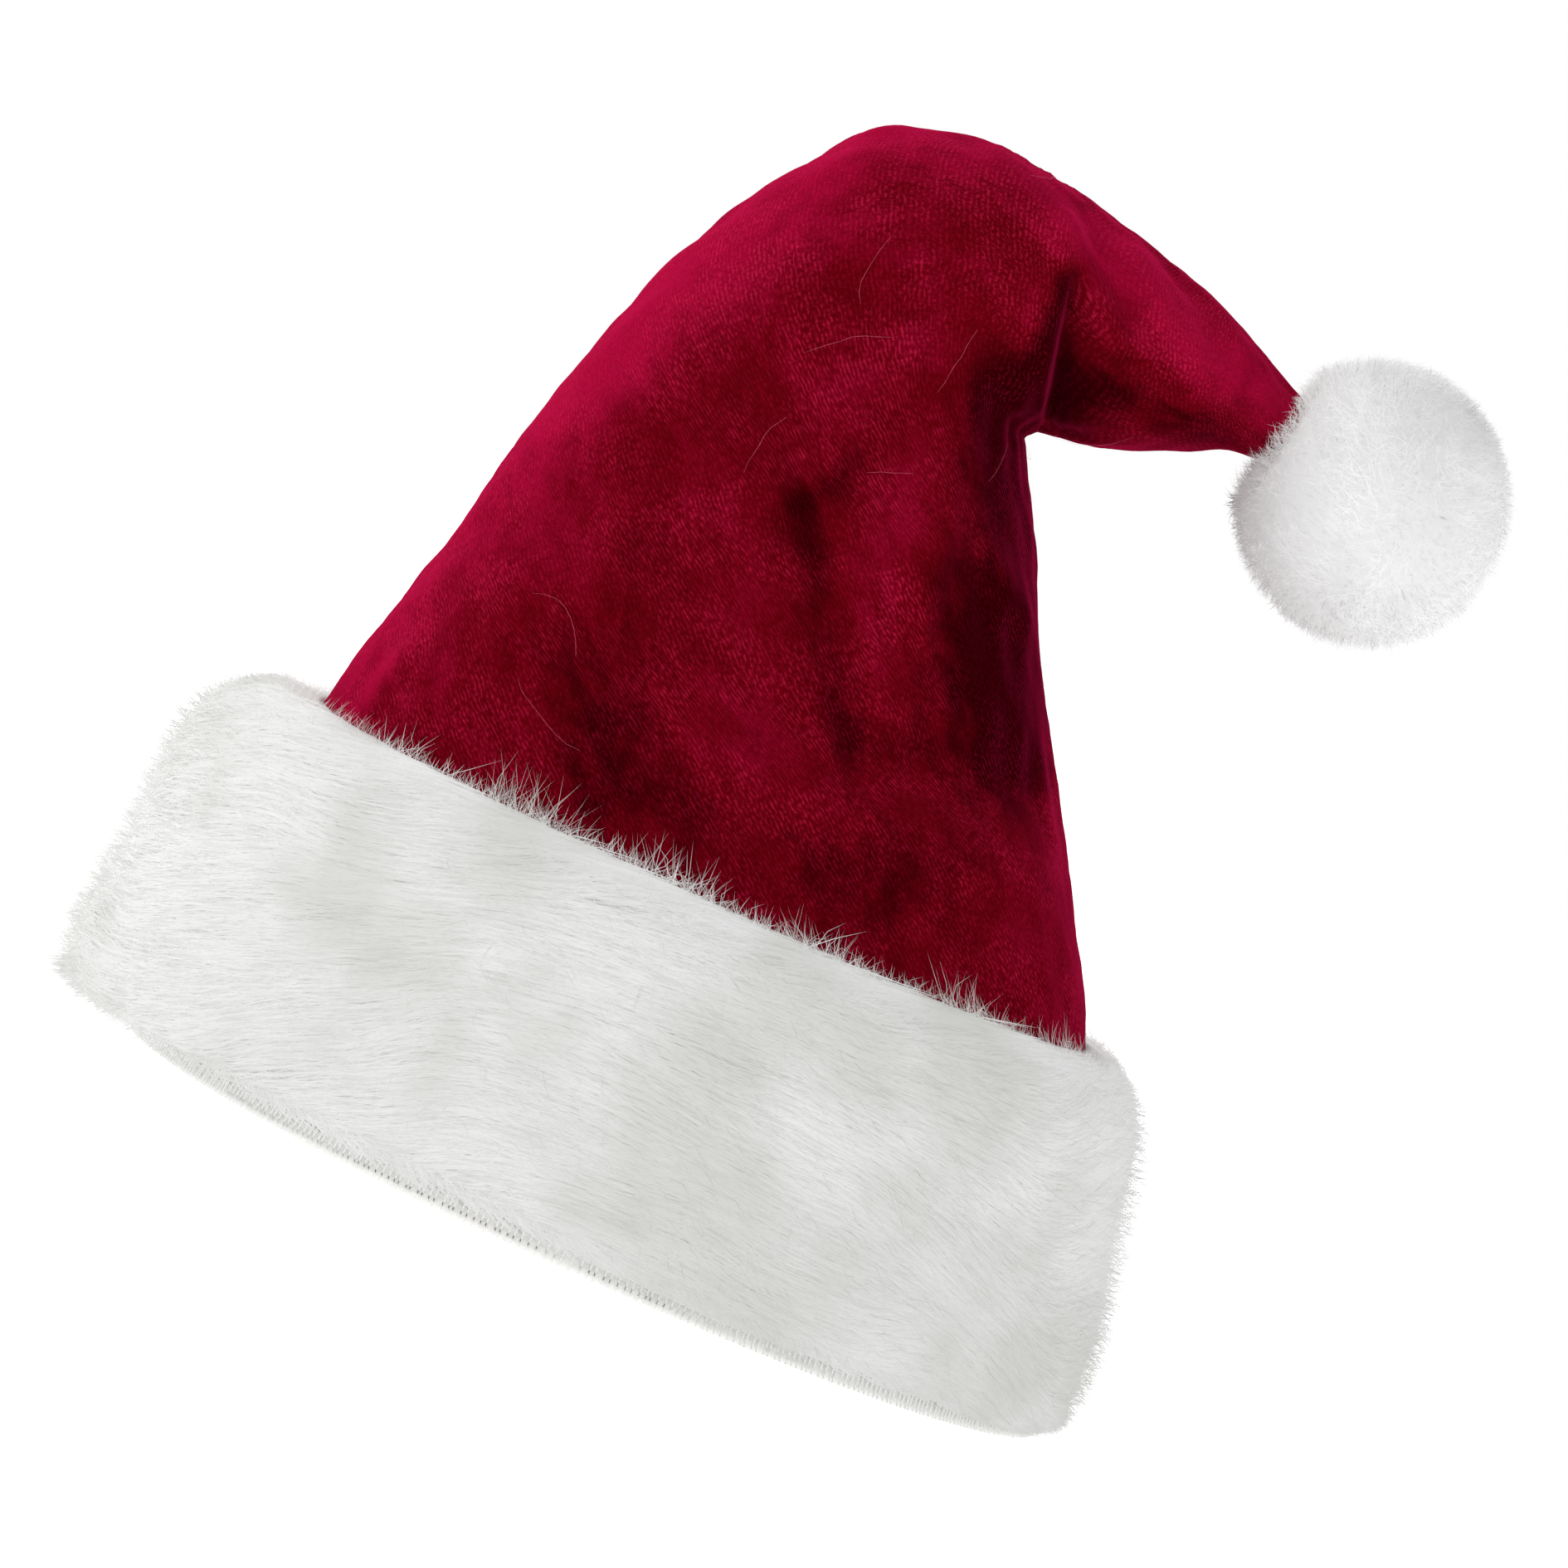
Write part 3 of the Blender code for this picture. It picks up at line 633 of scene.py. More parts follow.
def write_strands(name, paths, outward, draw, widths, material, slot, shadows=False, whiter=0.0):
    """Fur as one mesh. Each strand is a narrow ribbon that ends in a point, turned a little about its line,
    and shaded as part of the soft surface that it lies in. Only fur with shadows keeps light off the rest."""
    count, stations, _ = paths.shape
    pairs = stations - 1
    tone = draw.random(count)
    facing = unit(outward + ribbon_scatter * draw.normal(0, 1, (count, 1, 3)))
    shading = unit(outward + shading_scatter * draw.normal(0, 1, (count, 1, 3)))
    tangent = unit(np.gradient(paths, axis=1))
    side = unit(np.cross(tangent, facing))
    spread = side[:, :pairs] * (widths[:, None] * STATION_WIDTHS[stations][None])[..., None] / 2
    sides = (paths[:, :pairs] - spread, paths[:, :pairs] + spread)
    body = np.stack(sides, axis=2).reshape(count, 2 * pairs, 3)
    points = np.concatenate((body, paths[:, pairs:]), axis=1).reshape(-1, 3)
    base = (2 * pairs + 1) * np.arange(count)[:, None]
    quads = np.concatenate([base + 2 * step + np.array((0, 1, 3, 2)) for step in range(pairs - 1)])
    tips = base + 2 * pairs + np.array((-2, -1, 0))
    along = np.append(np.repeat(np.arange(pairs) / pairs, 2), 1.0)
    beside = np.append(np.tile((0.1, 0.9), pairs), 0.5)
    # The colour's place along the strand, darker at the root as painted shade; whiter lifts that painted
    # shade.
    lightness = whiter + (1 - whiter) * along
    strand = np.stack(np.broadcast_arrays(tone[:, None], lightness[None]), -1).reshape(-1, 2)
    left, low, wide, tall = bake_layout(count)
    over = left[:, None] + wide * (0.08 + 0.84 * beside)[None]
    up = low[:, None] + tall * (0.04 + 0.92 * along)[None]
    baked = np.stack((over, up), -1).reshape(-1, 2)
    maps = (("OFBake", baked), ("Strand", strand))
    shading = np.repeat(shading, [2] * pairs + [1], axis=1).reshape(-1, 3)
    piece = write_faces(name, points, (quads, tips), material, maps, shading)
    piece.visible_shadow = shadows
    piece.visible_diffuse = shadows
    return piece


class CuffPile:
    """Finds places in the cuff's pile from lengths round it, from the left side, and heights."""

    def __init__(self):
        self.angle = math.pi + np.linspace(0, 2 * math.pi, 4001)
        middle_height = np.full(4001, cuff_height / 2)
        path = wall_point(middle_height, self.angle, pile_depth(self.angle) * 0.85)
        steps = np.linalg.norm(np.diff(path, axis=0), axis=1)
        self.length = np.concatenate(([0.0], np.cumsum(steps)))
        self.round = self.length[-1]
        across = [self.across(nap.across / 1000, nap.up / 1000) for nap in FRONT_NAP]
        self.nap_places = np.array(across)
        self.nap_heights = np.array([nap.up / 1000 for nap in FRONT_NAP])
        self.nap_climbs = np.radians([nap.climb for nap in FRONT_NAP])

    def angle_at(self, length):
        """The angle at a length round the cuff."""
        return np.interp(np.mod(length, self.round), self.length, self.angle)

    def length_at(self, angle):
        """The length round the cuff at an angle."""
        return np.interp(np.mod(angle - math.pi, 2 * math.pi) + math.pi, self.angle, self.length)

    def across(self, x, height):
        """The length round the cuff at which its front is at x."""
        angle = np.linspace(math.pi, 2 * math.pi, 1500)
        share = np.full(1500, height / cuff_height)
        found = wall_point(share * cuff_height, angle, pile_depth(angle) * pile_outline(share, angle) * 0.85)
        return float(self.length_at(angle[np.abs(found[:, 0] - x).argmin()]))

    def climb(self, length, height):
        """The way that the tips point, in radians up from the way round the cuff."""
        place = np.mod(length, self.round)
        loose = np.radians(12) * ripple(place * 0.7, height * 1.4, 31, 0.075) + np.radians(4)
        weight = 0.06
        sideways, upward = weight * np.cos(loose), weight * np.sin(loose)
        for nap_place, nap_height, nap_climb in zip(self.nap_places, self.nap_heights, self.nap_climbs):
            apart = np.abs(place - nap_place)
            apart = np.minimum(apart, self.round - apart)
            near = np.exp(-(apart**2 + (height - nap_height) ** 2) / (2 * nap_reach**2))
            sideways = sideways + near * math.cos(nap_climb)
            upward = upward + near * math.sin(nap_climb)
        fine = np.radians(5) * ripple(place, height, 32, 0.026)
        fine = fine + np.radians(2) * ripple(place, height, 33, 0.009)
        rising = np.radians(5) * soft_step((height / cuff_height - 0.80) / 0.14)
        return np.arctan2(upward, sideways) + fine + rising

    def comb(self, length, height, reach, astray=0.0, skip=2):
        """Follows the nap from roots over a reach, and gives the places of each strand's stations."""
        places, heights = [length], [height]
        steps = 6
        for _ in range(steps):
            climb = self.climb(length, height) + astray
            length = length + reach / steps * np.cos(climb)
            height = height + reach / steps * np.sin(climb)
            places.append(length)
            heights.append(height)
        return np.stack(places[::skip], -1), np.stack(heights[::skip], -1)

    def point(self, place, height, depth, root_height, lowest):
        """Points in the pile. Tips keep some of their root's depth where the pile ends at the cuff's top, and
        each strand levels out above the floor at a height of its own."""
        angle = self.angle_at(place)
        room = loose_edge - lowest
        height = np.where(
            height < loose_edge, lowest + room * np.exp(np.minimum(height - loose_edge, 0) / room), height
        )
        outline = pile_outline(height / cuff_height, angle)
        outline = outline + 0.30 * np.maximum(pile_outline(root_height / cuff_height, angle) - outline, 0)
        out = pile_depth(angle) * outline * depth
        height = np.maximum(height, 0.0004)
        out = np.maximum(out, layer_gap + backing_wall)
        out = np.where(height < hem_height + 0.001, np.maximum(out, hem_outer + 0.0013), out)
        out = np.where(height > cuff_height, np.maximum(out, 0.0012), out)
        return wall_point(height, angle, out)

    def outward(self, place, height):
        """The way that the pile's soft outer surface faces, turned up or down where its outline slopes."""
        angle = self.angle_at(place)
        along, across = loop_shares(angle)
        level = unit(np.stack((along / opening_width, across / opening_depth), -1))
        share = height / cuff_height
        slope = (pile_outline(share + 0.06, angle) - pile_outline(share - 0.06, angle)) / 0.12
        rise = -0.55 * slope * pile_depth(angle) / cuff_height
        return unit(np.stack((level[..., 0], level[..., 1], rise), -1))


def clump_roots(pile, length, height, size, seed):
    """The middle of the clump that each root belongs to, and a number from 0 to 1 for each clump."""
    warped_length = length + 0.35 * size * ripple(length, height, seed, size * 2.3)
    warped_height = height + 0.35 * size * ripple(length, height, seed + 1, size * 2.3)
    column = np.floor(warped_length / size).astype(int)
    row = np.floor(warped_height / (size * 0.7)).astype(int)
    key = (column * 73856093) ^ (row * 19349663) ^ (seed * 83492791)
    draws = [((key * factor) % 10007) / 10007 for factor in (7919, 104729, 1299709)]
    middle_length = (column + 0.2 + 0.6 * draws[0]) * size
    middle_height = (row + 0.2 + 0.6 * draws[1]) * size * 0.7
    return middle_length, middle_height, draws[2]


def make_cuff_strands(pile, material):
    """The cuff's fur, combed along its nap and drawn together in clumps."""
    draw = np.random.default_rng(41)
    count = cuff_strands
    length = draw.uniform(0, pile.round, count)
    height = cuff_height * draw.uniform(0.04, 0.985, count)
    reach = draw.uniform(0.022, 0.034, count)
    short = draw.random(count) < 0.16
    guard = draw.random(count) < 0.05
    reach = np.where(short, reach * 0.5, reach)
    reach = np.where(guard, reach * 1.2, reach)
    place, up = pile.comb(length, height, reach)
    root_depth = draw.uniform(0.74, 0.80, count)
    tip_depth = draw.uniform(0.89, 1.0, count)
    tip_depth = np.where(guard, draw.uniform(0.96, 1.14, count), tip_depth)
    root_depth = root_depth + 0.11 * left_end(pile.angle_at(length))
    under = draw.random(count) < shading_share
    tip_depth = np.where(under, np.minimum(tip_depth, 0.98) - 0.03, tip_depth)
    lowest = draw.uniform(0.0010, 0.0050, (count, 1))
    bend = 1 - (1 - STATIONS) ** 1.9
    swell = 0.045 * ripple(length, height, 42, 0.030)
    depth = root_depth[:, None] + (tip_depth + swell - root_depth)[:, None] * bend[None]
    near_top = soft_step((height / cuff_height - 0.78) / 0.15)
    for size, pull, seed in ((0.0105, 0.22, 51), (0.0036, 0.26, 61)):
        middle_length, middle_height, number = clump_roots(pile, length, height, size, seed)
        clump_place, clump_up = pile.comb(middle_length, middle_height, reach)
        weight = (pull * (0.4 + 0.9 * number))[:, None] * STATIONS[None] ** 1.25
        weight = np.where(guard[:, None], weight * 0.4, weight)
        weight = weight * (1 - 0.8 * near_top)[:, None]
        place = place + (clump_place - place) * weight
        up = up + (clump_up - up) * weight
        depth = depth + 0.045 * (number - 0.5)[:, None] * STATIONS[None]
    wave = 0.0021 * draw.normal(0, 1, (count, 1)) * STATIONS[None] * (1 + near_top)[:, None]
    curl = 0.0002 * np.sin(STATIONS[None] * 6 + draw.uniform(0, 6.3, (count, 1))) * (STATIONS > 0)[None]
    up = up + wave + curl
    wavy = 0.975 + 0.012 * ripple(length, 0 * length, 43, 0.035)
    edge = cuff_height * (wavy + draw.normal(0, 0.010, count))
    over = up - np.maximum(edge, height + 0.0004)[:, None]
    up = up - 0.85 * np.maximum(over, 0)
    paths = pile.point(place, up, depth, height[:, None], lowest)
    outward = pile.outward(place, up)
    widths = strand_width * draw.uniform(0.6, 1.25, count)
    parts = (paths[under], outward[under], draw, widths[under], material, "cuff_fur", True)
    write_strands("cuff_strands_under", *parts)
    degrees = np.degrees(pile.angle_at(length)) % 360
    for name, low, high in CUFF_SPANS:
        inside = (degrees >= low) & (degrees < high) | (degrees + 360 >= low) & (degrees + 360 < high)
        inside = inside & ~under
        write_strands(name, paths[inside], outward[inside], draw, widths[inside], material, "cuff_fur")


def make_fringe(pile, material):
    """Short hairs over the velvet from the cuff's upper edge, and wisps that hang over the rim's stitches."""
    draw = np.random.default_rng(71)
    share = SHORT_STATIONS[None]
    count = fringe_hairs
    length = draw.uniform(0, pile.round, count)
    height = cuff_height * draw.uniform(0.93, 1.0, count)
    level = draw.random(count) < 0.55
    longer = soft_step(0.35 + 0.8 * ripple(length, 0 * length, 73, 0.045))
    reach = draw.uniform(0.0025, 0.0065, count) + 0.012 * longer * draw.random(count) ** 3
    steep = np.radians(draw.normal(108, 30, count) + 22 * ripple(length, height, 72, 0.05))
    way = np.where(draw.random(count) < 0.5, 14, 166)
    steep = np.where(level, np.radians(way + draw.normal(0, 14, count)), steep)
    climb = steep[:, None] + draw.normal(0, 0.45, (count, 1)) * share
    place = length[:, None] + reach[:, None] * share * np.cos(climb)
    up = height[:, None] + reach[:, None] * share * np.sin(climb)
    depth = 0.75 + draw.uniform(0.1, 0.6, (count, 1)) * share
    fringe = pile.point(place, up, depth, height[:, None], 0.001)
    rim_count = rim_wisps
    rim_length = draw.uniform(0, pile.round, rim_count)
    rim_height = draw.uniform(0.004, 0.010, rim_count)
    rim_reach = draw.uniform(0.004, 0.010, (rim_count, 1))
    down = np.radians(draw.normal(-38, 18, (rim_count, 1)) + 10 * ripple(rim_length, 0, 75, 0.02)[:, None])
    rim_place = rim_length[:, None] + rim_reach * share * np.cos(down)
    rim_up = rim_height[:, None] + rim_reach * share * np.sin(down)
    rim_depth = 0.85 + draw.uniform(0.0, 0.5, (rim_count, 1)) * share
    rim_lowest = draw.uniform(0.0005, 0.0032, (rim_count, 1))
    wisps = pile.point(rim_place, rim_up, rim_depth, rim_height[:, None], rim_lowest)
    outward = pile.outward(np.concatenate((place, rim_place)), np.concatenate((up, rim_up)))
    fringe_widths = draw.uniform(0.22, 0.5, count)
    widths = strand_width * np.concatenate((fringe_widths, draw.uniform(0.35, 0.8, rim_count)))
    paths = np.concatenate((fringe, wisps))
    write_strands("cuff_fringe", paths, outward, draw, widths, material, "cuff_fur", whiter=0.45)


def make_fuzz(pile, material):
    """Short hairs that stand out of the pile all round, and longer ones that stray from its nap."""
    draw = np.random.default_rng(77)
    count = fuzz_strands
    length = draw.uniform(0, pile.round, count)
    height = cuff_height * draw.uniform(0.03, 0.97, count)
    astray = np.radians(draw.normal(0, 35, count))
    place, up = pile.comb(length, height, draw.uniform(0.004, 0.011, count), astray, 3)
    rise = 0.0055 / pile_depth(pile.angle_at(length))[:, None] * draw.uniform(0.5, 1.2, (count, 1))
    depth = 0.88 + (0.10 + rise) * SHORT_STATIONS[None] ** 0.8
    lowest = draw.uniform(0.0008, 0.0045, (count, 1))
    paths = pile.point(place, up, depth, height[:, None], lowest)
    widths = strand_width * draw.uniform(0.4, 0.75, count)
    outward = pile.outward(place, up)
    write_strands("cuff_fuzz", paths, outward, draw, widths, material, "cuff_fur", whiter=0.3)
    stray = stray_hairs
    length = draw.uniform(0, pile.round, stray)
    height = cuff_height * draw.uniform(0.02, 0.95, stray)
    place, up = pile.comb(length, height, draw.uniform(0.014, 0.026, stray))
    up = up + 0.005 * draw.normal(0, 1, (stray, 1)) * STATIONS[None]
    depth = 0.85 + draw.uniform(0.18, 0.42, (stray, 1)) * STATIONS[None] ** 1.3
    paths = pile.point(place, up, depth, height[:, None], lowest[:stray])
    widths = strand_width * draw.uniform(0.4, 0.8, stray)
    write_strands("cuff_stray_hairs", paths, pile.outward(place, up), draw, widths, material, "cuff_fur")


def make_fur_body(pile, material):
    """The dense lower pile that the strands grow from, and its backing."""

    def rings(angle):
        found = [wall_point(layers_start, angle, out) for out in (layer_gap, hem_outer + 0.002)]
        for share in (0.09, 0.13, 0.2, 0.28, 0.36, 0.44, 0.52, 0.6, 0.68, 0.76, 0.82, 0.87, 0.91, 0.95, 0.98):
            lumps = 1 + 0.05 * ripple(angle * 0.1, share * cuff_height + 0 * angle, 81, 0.016)
            out = pile_depth(angle) * pile_outline(share, angle) * pile_body_share * lumps
            found.append(wall_point(share * cuff_height, angle, np.maximum(out, layer_gap + backing_wall)))
        found.append(wall_point(cuff_height, angle, layer_gap + backing_wall))
        found.append(wall_point(cuff_height, angle, layer_gap))
        return found

    ring_wall("cuff_pile", rings, 160, material, ["cuff_fur"])


def tip_end():
    """The middle of the crown's closed tip and the way that it points."""
    last = real_section(CROWN_SECTIONS[-1])
    middle = Vector(((last[0] + last[2]) / 2, 0, (last[1] + last[3]) / 2))
    across = Vector((last[2] - last[0], 0, last[3] - last[1])).normalized()
    return middle, Vector((-across.z, 0, across.x))


def make_pompom(material):
    """The pompom: a soft ball of short fur on the tip."""
    tip, pointing = tip_end()
    seat = math.sqrt(pompom_core**2 - (pompom_seat_width / 2) ** 2)
    centre = tip + pointing * (layer_gap + seat) + Vector(pompom_sag)
    bm = bmesh.new()
    bmesh.ops.create_icosphere(bm, subdivisions=5, radius=pompom_core, matrix=Matrix.Translation(centre))
    for vertex in bm.verts:
        out = (vertex.co - centre).normalized()
        lumps = float(ripple(out.x * 0.03 + out.y * 0.02, out.z * 0.03 - out.y * 0.02, 91, 0.022))
        vertex.co = centre + out * pompom_diameter / 2 * (pompom_body_share + 0.014 * lumps)
    everything = bm.verts[:] + bm.edges[:] + bm.faces[:]
    cut = bmesh.ops.bisect_plane(
        bm, geom=everything, plane_co=tip + pointing * layer_gap, plane_no=-pointing, clear_outer=True
    )
    rim = [part for part in cut["geom_cut"] if isinstance(part, bmesh.types.BMEdge)]
    bmesh.ops.contextual_create(bm, geom=rim)
    bmesh.ops.recalc_face_normals(bm, faces=bm.faces)
    add_piece("pompom_ball", bm, material, ["pompom"])
    make_pompom_strands(np.array(centre), np.array(pointing), material)


def make_pompom_strands(centre, pointing, material):
    """The pompom's short fur, drawn together in tufts, with a collar of it where the ball meets the tip."""
    draw = np.random.default_rng(101)
    count = pompom_strands
    out = unit(draw.normal(0, 1, (count, 3)))
    root_radius = pompom_diameter / 2 * (pompom_body_share - 0.02)
    tip, _ = tip_end()
    seat = (centre - np.array(tip)) @ pointing - layer_gap
    beyond = np.maximum(out @ -pointing, 0.01)
    collar = beyond * root_radius > seat
    clear = seat * np.sqrt(1 / beyond**2 - 1) > 0.0078
    out, beyond, collar = (part[~collar | clear] for part in (out, beyond, collar))
    count = len(out)
    cell = 0.19
    clump = unit(np.round(out / cell + 0.35 * draw.normal(0, 1, (count, 3)) * 0.5) * cell + 1e-6)
    fine = unit(np.round(out / 0.09) * 0.09 + 1e-6)
    swirl = np.cross(out, np.array((0.35, -0.75, 0.55)))
    waves = [ripple(out[:, 0] * 0.05, out[:, (1 + i) % 3] * 0.05, 111 + i, 0.05) for i in range(3)]
    wave = np.stack(waves, -1)
    lean = 0.25 * swirl + 0.50 * wave + 0.45 * draw.normal(0, 1, (count, 3)) + 0.20 * pointing
    lean = lean - out * (lean * out).sum(1, keepdims=True)
    reach = draw.uniform(0.004, 0.0075, count)
    taller = 0.045 * (out @ np.array((-0.41, 0.0, 0.91))) ** 2
    upright = np.where(draw.random(count) < 0.12, 0.022, 0.0)
    top = pompom_diameter / 2 * (draw.uniform(0.955, 0.99, count) + taller + upright)
    root = np.where(collar, seat / beyond, root_radius)
    top = np.where(collar, root + draw.uniform(0.002, 0.0045, count), top)
    share = SHORT_STATIONS[None, :, None]
    radius = root[:, None, None] + (top - root)[:, None, None] * (1 - (1 - share) ** 1.7)
    way = out[:, None] + lean[:, None] * share * (reach / pompom_core)[:, None, None]
    gather = 0.14 * (clump - out)[:, None] + 0.20 * (fine - out)[:, None]
    way = unit(way + gather * share**1.3)
    paths = centre + way * radius
    widths = strand_width * draw.uniform(0.4, 0.85, count)
    under = draw.random(count) < shading_share
    for name, part, shadows in (("pompom_strands", ~under, False), ("pompom_strands_under", under, True)):
        write_strands(name, paths[part], unit(way)[part], draw, widths[part], material, "pompom_fur", shadows)


def make_velvet_hairs(grid, material):
    """Single fur hairs that have come off on the velvet, each following its face."""
    draw = np.random.default_rng(121)
    rows, count, _ = grid.shape
    normals = unit(np.cross(np.gradient(grid, axis=1), np.gradient(grid, axis=0)))
    middle = grid.mean(axis=1, keepdims=True)
    normals *= np.sign((normals * (grid - middle)).sum(-1, keepdims=True))
    paths, facings = [], []
    wanted = loose_hairs
    for _ in range(wanted):
        row, column = draw.uniform(18, rows - 14), draw.uniform(0, count)
        heading = draw.uniform(0, 2 * math.pi)
        turn = draw.normal(0, 0.12)
        step = draw.uniform(0.0015, 0.0035)
        points, outs = [], []
        for station in range(8):
            r, c = int(np.clip(row, 1, rows - 3)), int(column) % count
            along = np.linalg.norm(grid[r + 1, c] - grid[r, c]) + 1e-5
            across = np.linalg.norm(grid[r, (c + 1) % count] - grid[r, c]) + 1e-5
            share_r, share_c = row - math.floor(row), column - math.floor(column)
            beside = (c + 1) % count
            place = (
                grid[r, c] * (1 - share_r) * (1 - share_c) + grid[r + 1, c] * share_r * (1 - share_c)
                + grid[r, beside] * (1 - share_r) * share_c + grid[r + 1, beside] * share_r * share_c
            )
            arch = 0.0004 + 0.0007 * math.sin(math.pi * station / 7)
            points.append(place + normals[r, c] * arch)
            outs.append(normals[r, c])
            row = float(np.clip(row + step * math.sin(heading) / along, 14, rows - 10))
            column += step * math.cos(heading) / across
            heading += turn + draw.normal(0, 0.12)
        paths.append(points)
        facings.append(outs)
    paths = np.array(paths)
    side = unit(np.cross(unit(np.gradient(paths, axis=1)), np.array(facings)))
    thick = 0.00004 * np.array((0.7, 1, 1, 1, 1, 1, 0.8, 0.4))[None, :, None]
    points = np.stack((paths - side * thick, paths + side * thick), axis=2)
    index = np.arange(wanted * 16).reshape(wanted, 8, 2)
    corners = (index[:, :-1, 0], index[:, :-1, 1], index[:, 1:, 1], index[:, 1:, 0])
    quads = np.stack(corners, -1).reshape(-1, 4)
    write_faces("velvet_stray_hairs", points.reshape(-1, 3), (quads,), material)


# Finishes

def new_group(name, inputs, outputs):
    """A shader node group with named inputs, each with its kind and value, and named outputs."""
    group = bpy.data.node_groups.new(name, "ShaderNodeTree")
    for label, kind, value in inputs:
        socket = group.interface.new_socket(name=label, in_out="INPUT", socket_type=kind)
        if value is not None:
            socket.default_value = value
    for label, kind in outputs:
        group.interface.new_socket(name=label, in_out="OUTPUT", socket_type=kind)
    return group, group.nodes.new("NodeGroupInput").outputs, group.nodes.new("NodeGroupOutput").inputs


def node(tree, kind, inputs=None, **settings):
    """A node with its settings, whose inputs are values or other nodes' outputs."""
    made = tree.nodes.new(kind)
    for key, value in settings.items():
        setattr(made, key, value)
    for key, value in (inputs or {}).items():
        if isinstance(value, bpy.types.NodeSocket):
            tree.links.new(value, made.inputs[key])
        else:
            made.inputs[key].default_value = value
    return made


def noise(tree, place, scale, detail=2.0, roughness=0.5, distortion=0.0):
    """Noise at a place, from 0 to 1."""
    values = {"Vector": place, "Scale": scale, "Detail": detail}
    values.update({"Roughness": roughness, "Distortion": distortion})
    return node(tree, "ShaderNodeTexNoise", values).outputs["Fac"]


def calc(tree, operation, first, second=0.0, third=0.0):
    """One step of arithmetic on values or other nodes' outputs."""
    made = node(tree, "ShaderNodeMath", operation=operation)
    for slot, value in zip(made.inputs, (first, second, third)):
        if isinstance(value, bpy.types.NodeSocket):
            tree.links.new(value, slot)
        else:
            slot.default_value = value
    return made.outputs[0]


def spread(tree, value, low, high, to_low=0.0, to_high=1.0):
    """A value's range stretched to another range, and held inside it."""
    values = {"Value": value, "From Min": low, "From Max": high, "To Min": to_low, "To Max": to_high}
    return node(tree, "ShaderNodeMapRange", values, interpolation_type="SMOOTHSTEP").outputs["Result"]


def mix(tree, share, first, second, blend="MIX"):
    """Two colours mixed."""
    made = node(tree, "ShaderNodeMix", data_type="RGBA", blend_type=blend)
    for slot, value in ((made.inputs[0], share), (made.inputs[6], first), (made.inputs[7], second)):
        if isinstance(value, bpy.types.NodeSocket):
            tree.links.new(value, slot)
        else:
            slot.default_value = value
    return made.outputs[2]


def new_finish(name, roughness, **constants):
    """A material and its shader, with the values that are the same all over it."""
    material = bpy.data.materials.new(name)
    material.use_nodes = True
    tree = material.node_tree
    shader = tree.nodes["Principled BSDF"]
    shader.inputs["Roughness"].default_value = roughness
    for key, value in constants.items():
        shader.inputs[key.replace("_", " ")].default_value = value
    return material, tree, shader


def grain_group():
    """Fine uneven grain: a height and a mask, at a size in metres."""
    group, given, result = new_group(
        "fine grain",
        (("Place", "NodeSocketVector", None), ("Size", "NodeSocketFloat", 0.001)),
        (("Height", "NodeSocketFloat"), ("Mask", "NodeSocketFloat")),
    )
    scale = calc(group, "DIVIDE", 1.0, given["Size"])
    found = node(group, "ShaderNodeTexNoise", {"Vector": given["Place"], "Scale": scale, "Detail": 2.0})
    group.links.new(found.outputs["Fac"], result["Height"])
    group.links.new(spread(group, found.outputs["Fac"], 0.35, 0.65), result["Mask"])
    return group


def patches_group():
    """Broad soft patches with small mottling inside them, as pile shows where it lies different ways."""
    group, given, result = new_group(
        "lying pile patches",
        (
            ("Place", "NodeSocketVector", None),
            ("Broad", "NodeSocketFloat", 30.0), ("Small", "NodeSocketFloat", 120.0),
        ),
        (("Mask", "NodeSocketFloat"),),
    )
    broad = noise(group, given["Place"], given["Broad"], 3.0, 0.55, 0.4)
    small = noise(group, given["Place"], given["Small"], 4.0, 0.62)
    total = calc(group, "MULTIPLY_ADD", small, 0.55, calc(group, "MULTIPLY", broad, 0.75))
    group.links.new(spread(group, total, 0.50, 0.80), result["Mask"])
    return group


def even_waves(tree, place, spacing):
    """Waves at a spacing, from -1 to 1."""
    turned = calc(tree, "MULTIPLY", calc(tree, "DIVIDE", place, spacing), 2 * math.pi)
    return calc(tree, "SINE", turned)


def wales_group():
    """Rows of knit stitches: ridges along the cloth at a spacing in metres, broken into loops."""
    group, given, result = new_group(
        "knit wales",
        (
            ("Place", "NodeSocketVector", None),
            ("Spacing", "NodeSocketFloat", 0.001), ("Loop", "NodeSocketFloat", 0.001),
        ),
        (("Height", "NodeSocketFloat"),),
    )
    parts = node(group, "ShaderNodeSeparateXYZ", {"Vector": given["Place"]}).outputs
    wander = noise(group, given["Place"], 220.0, 1.0)
    across = calc(group, "MULTIPLY_ADD", wander, 0.0010, parts["X"])
    row = even_waves(group, across, given["Spacing"])
    along = calc(group, "MULTIPLY_ADD", wander, 0.0011, parts["Y"])
    loop = even_waves(group, along, given["Loop"])
    total = calc(group, "MULTIPLY_ADD", loop, 0.3, row)
    group.links.new(calc(group, "MULTIPLY_ADD", total, 0.38, 0.5), result["Height"])
    return group


def use_group(tree, group, **inputs):
    """A shader node group placed in a material, and its outputs."""
    made = node(tree, "ShaderNodeGroup", node_tree=group)
    for key, value in inputs.items():
        if isinstance(value, bpy.types.NodeSocket):
            tree.links.new(value, made.inputs[key])
        else:
            made.inputs[key].default_value = value
    return made.outputs


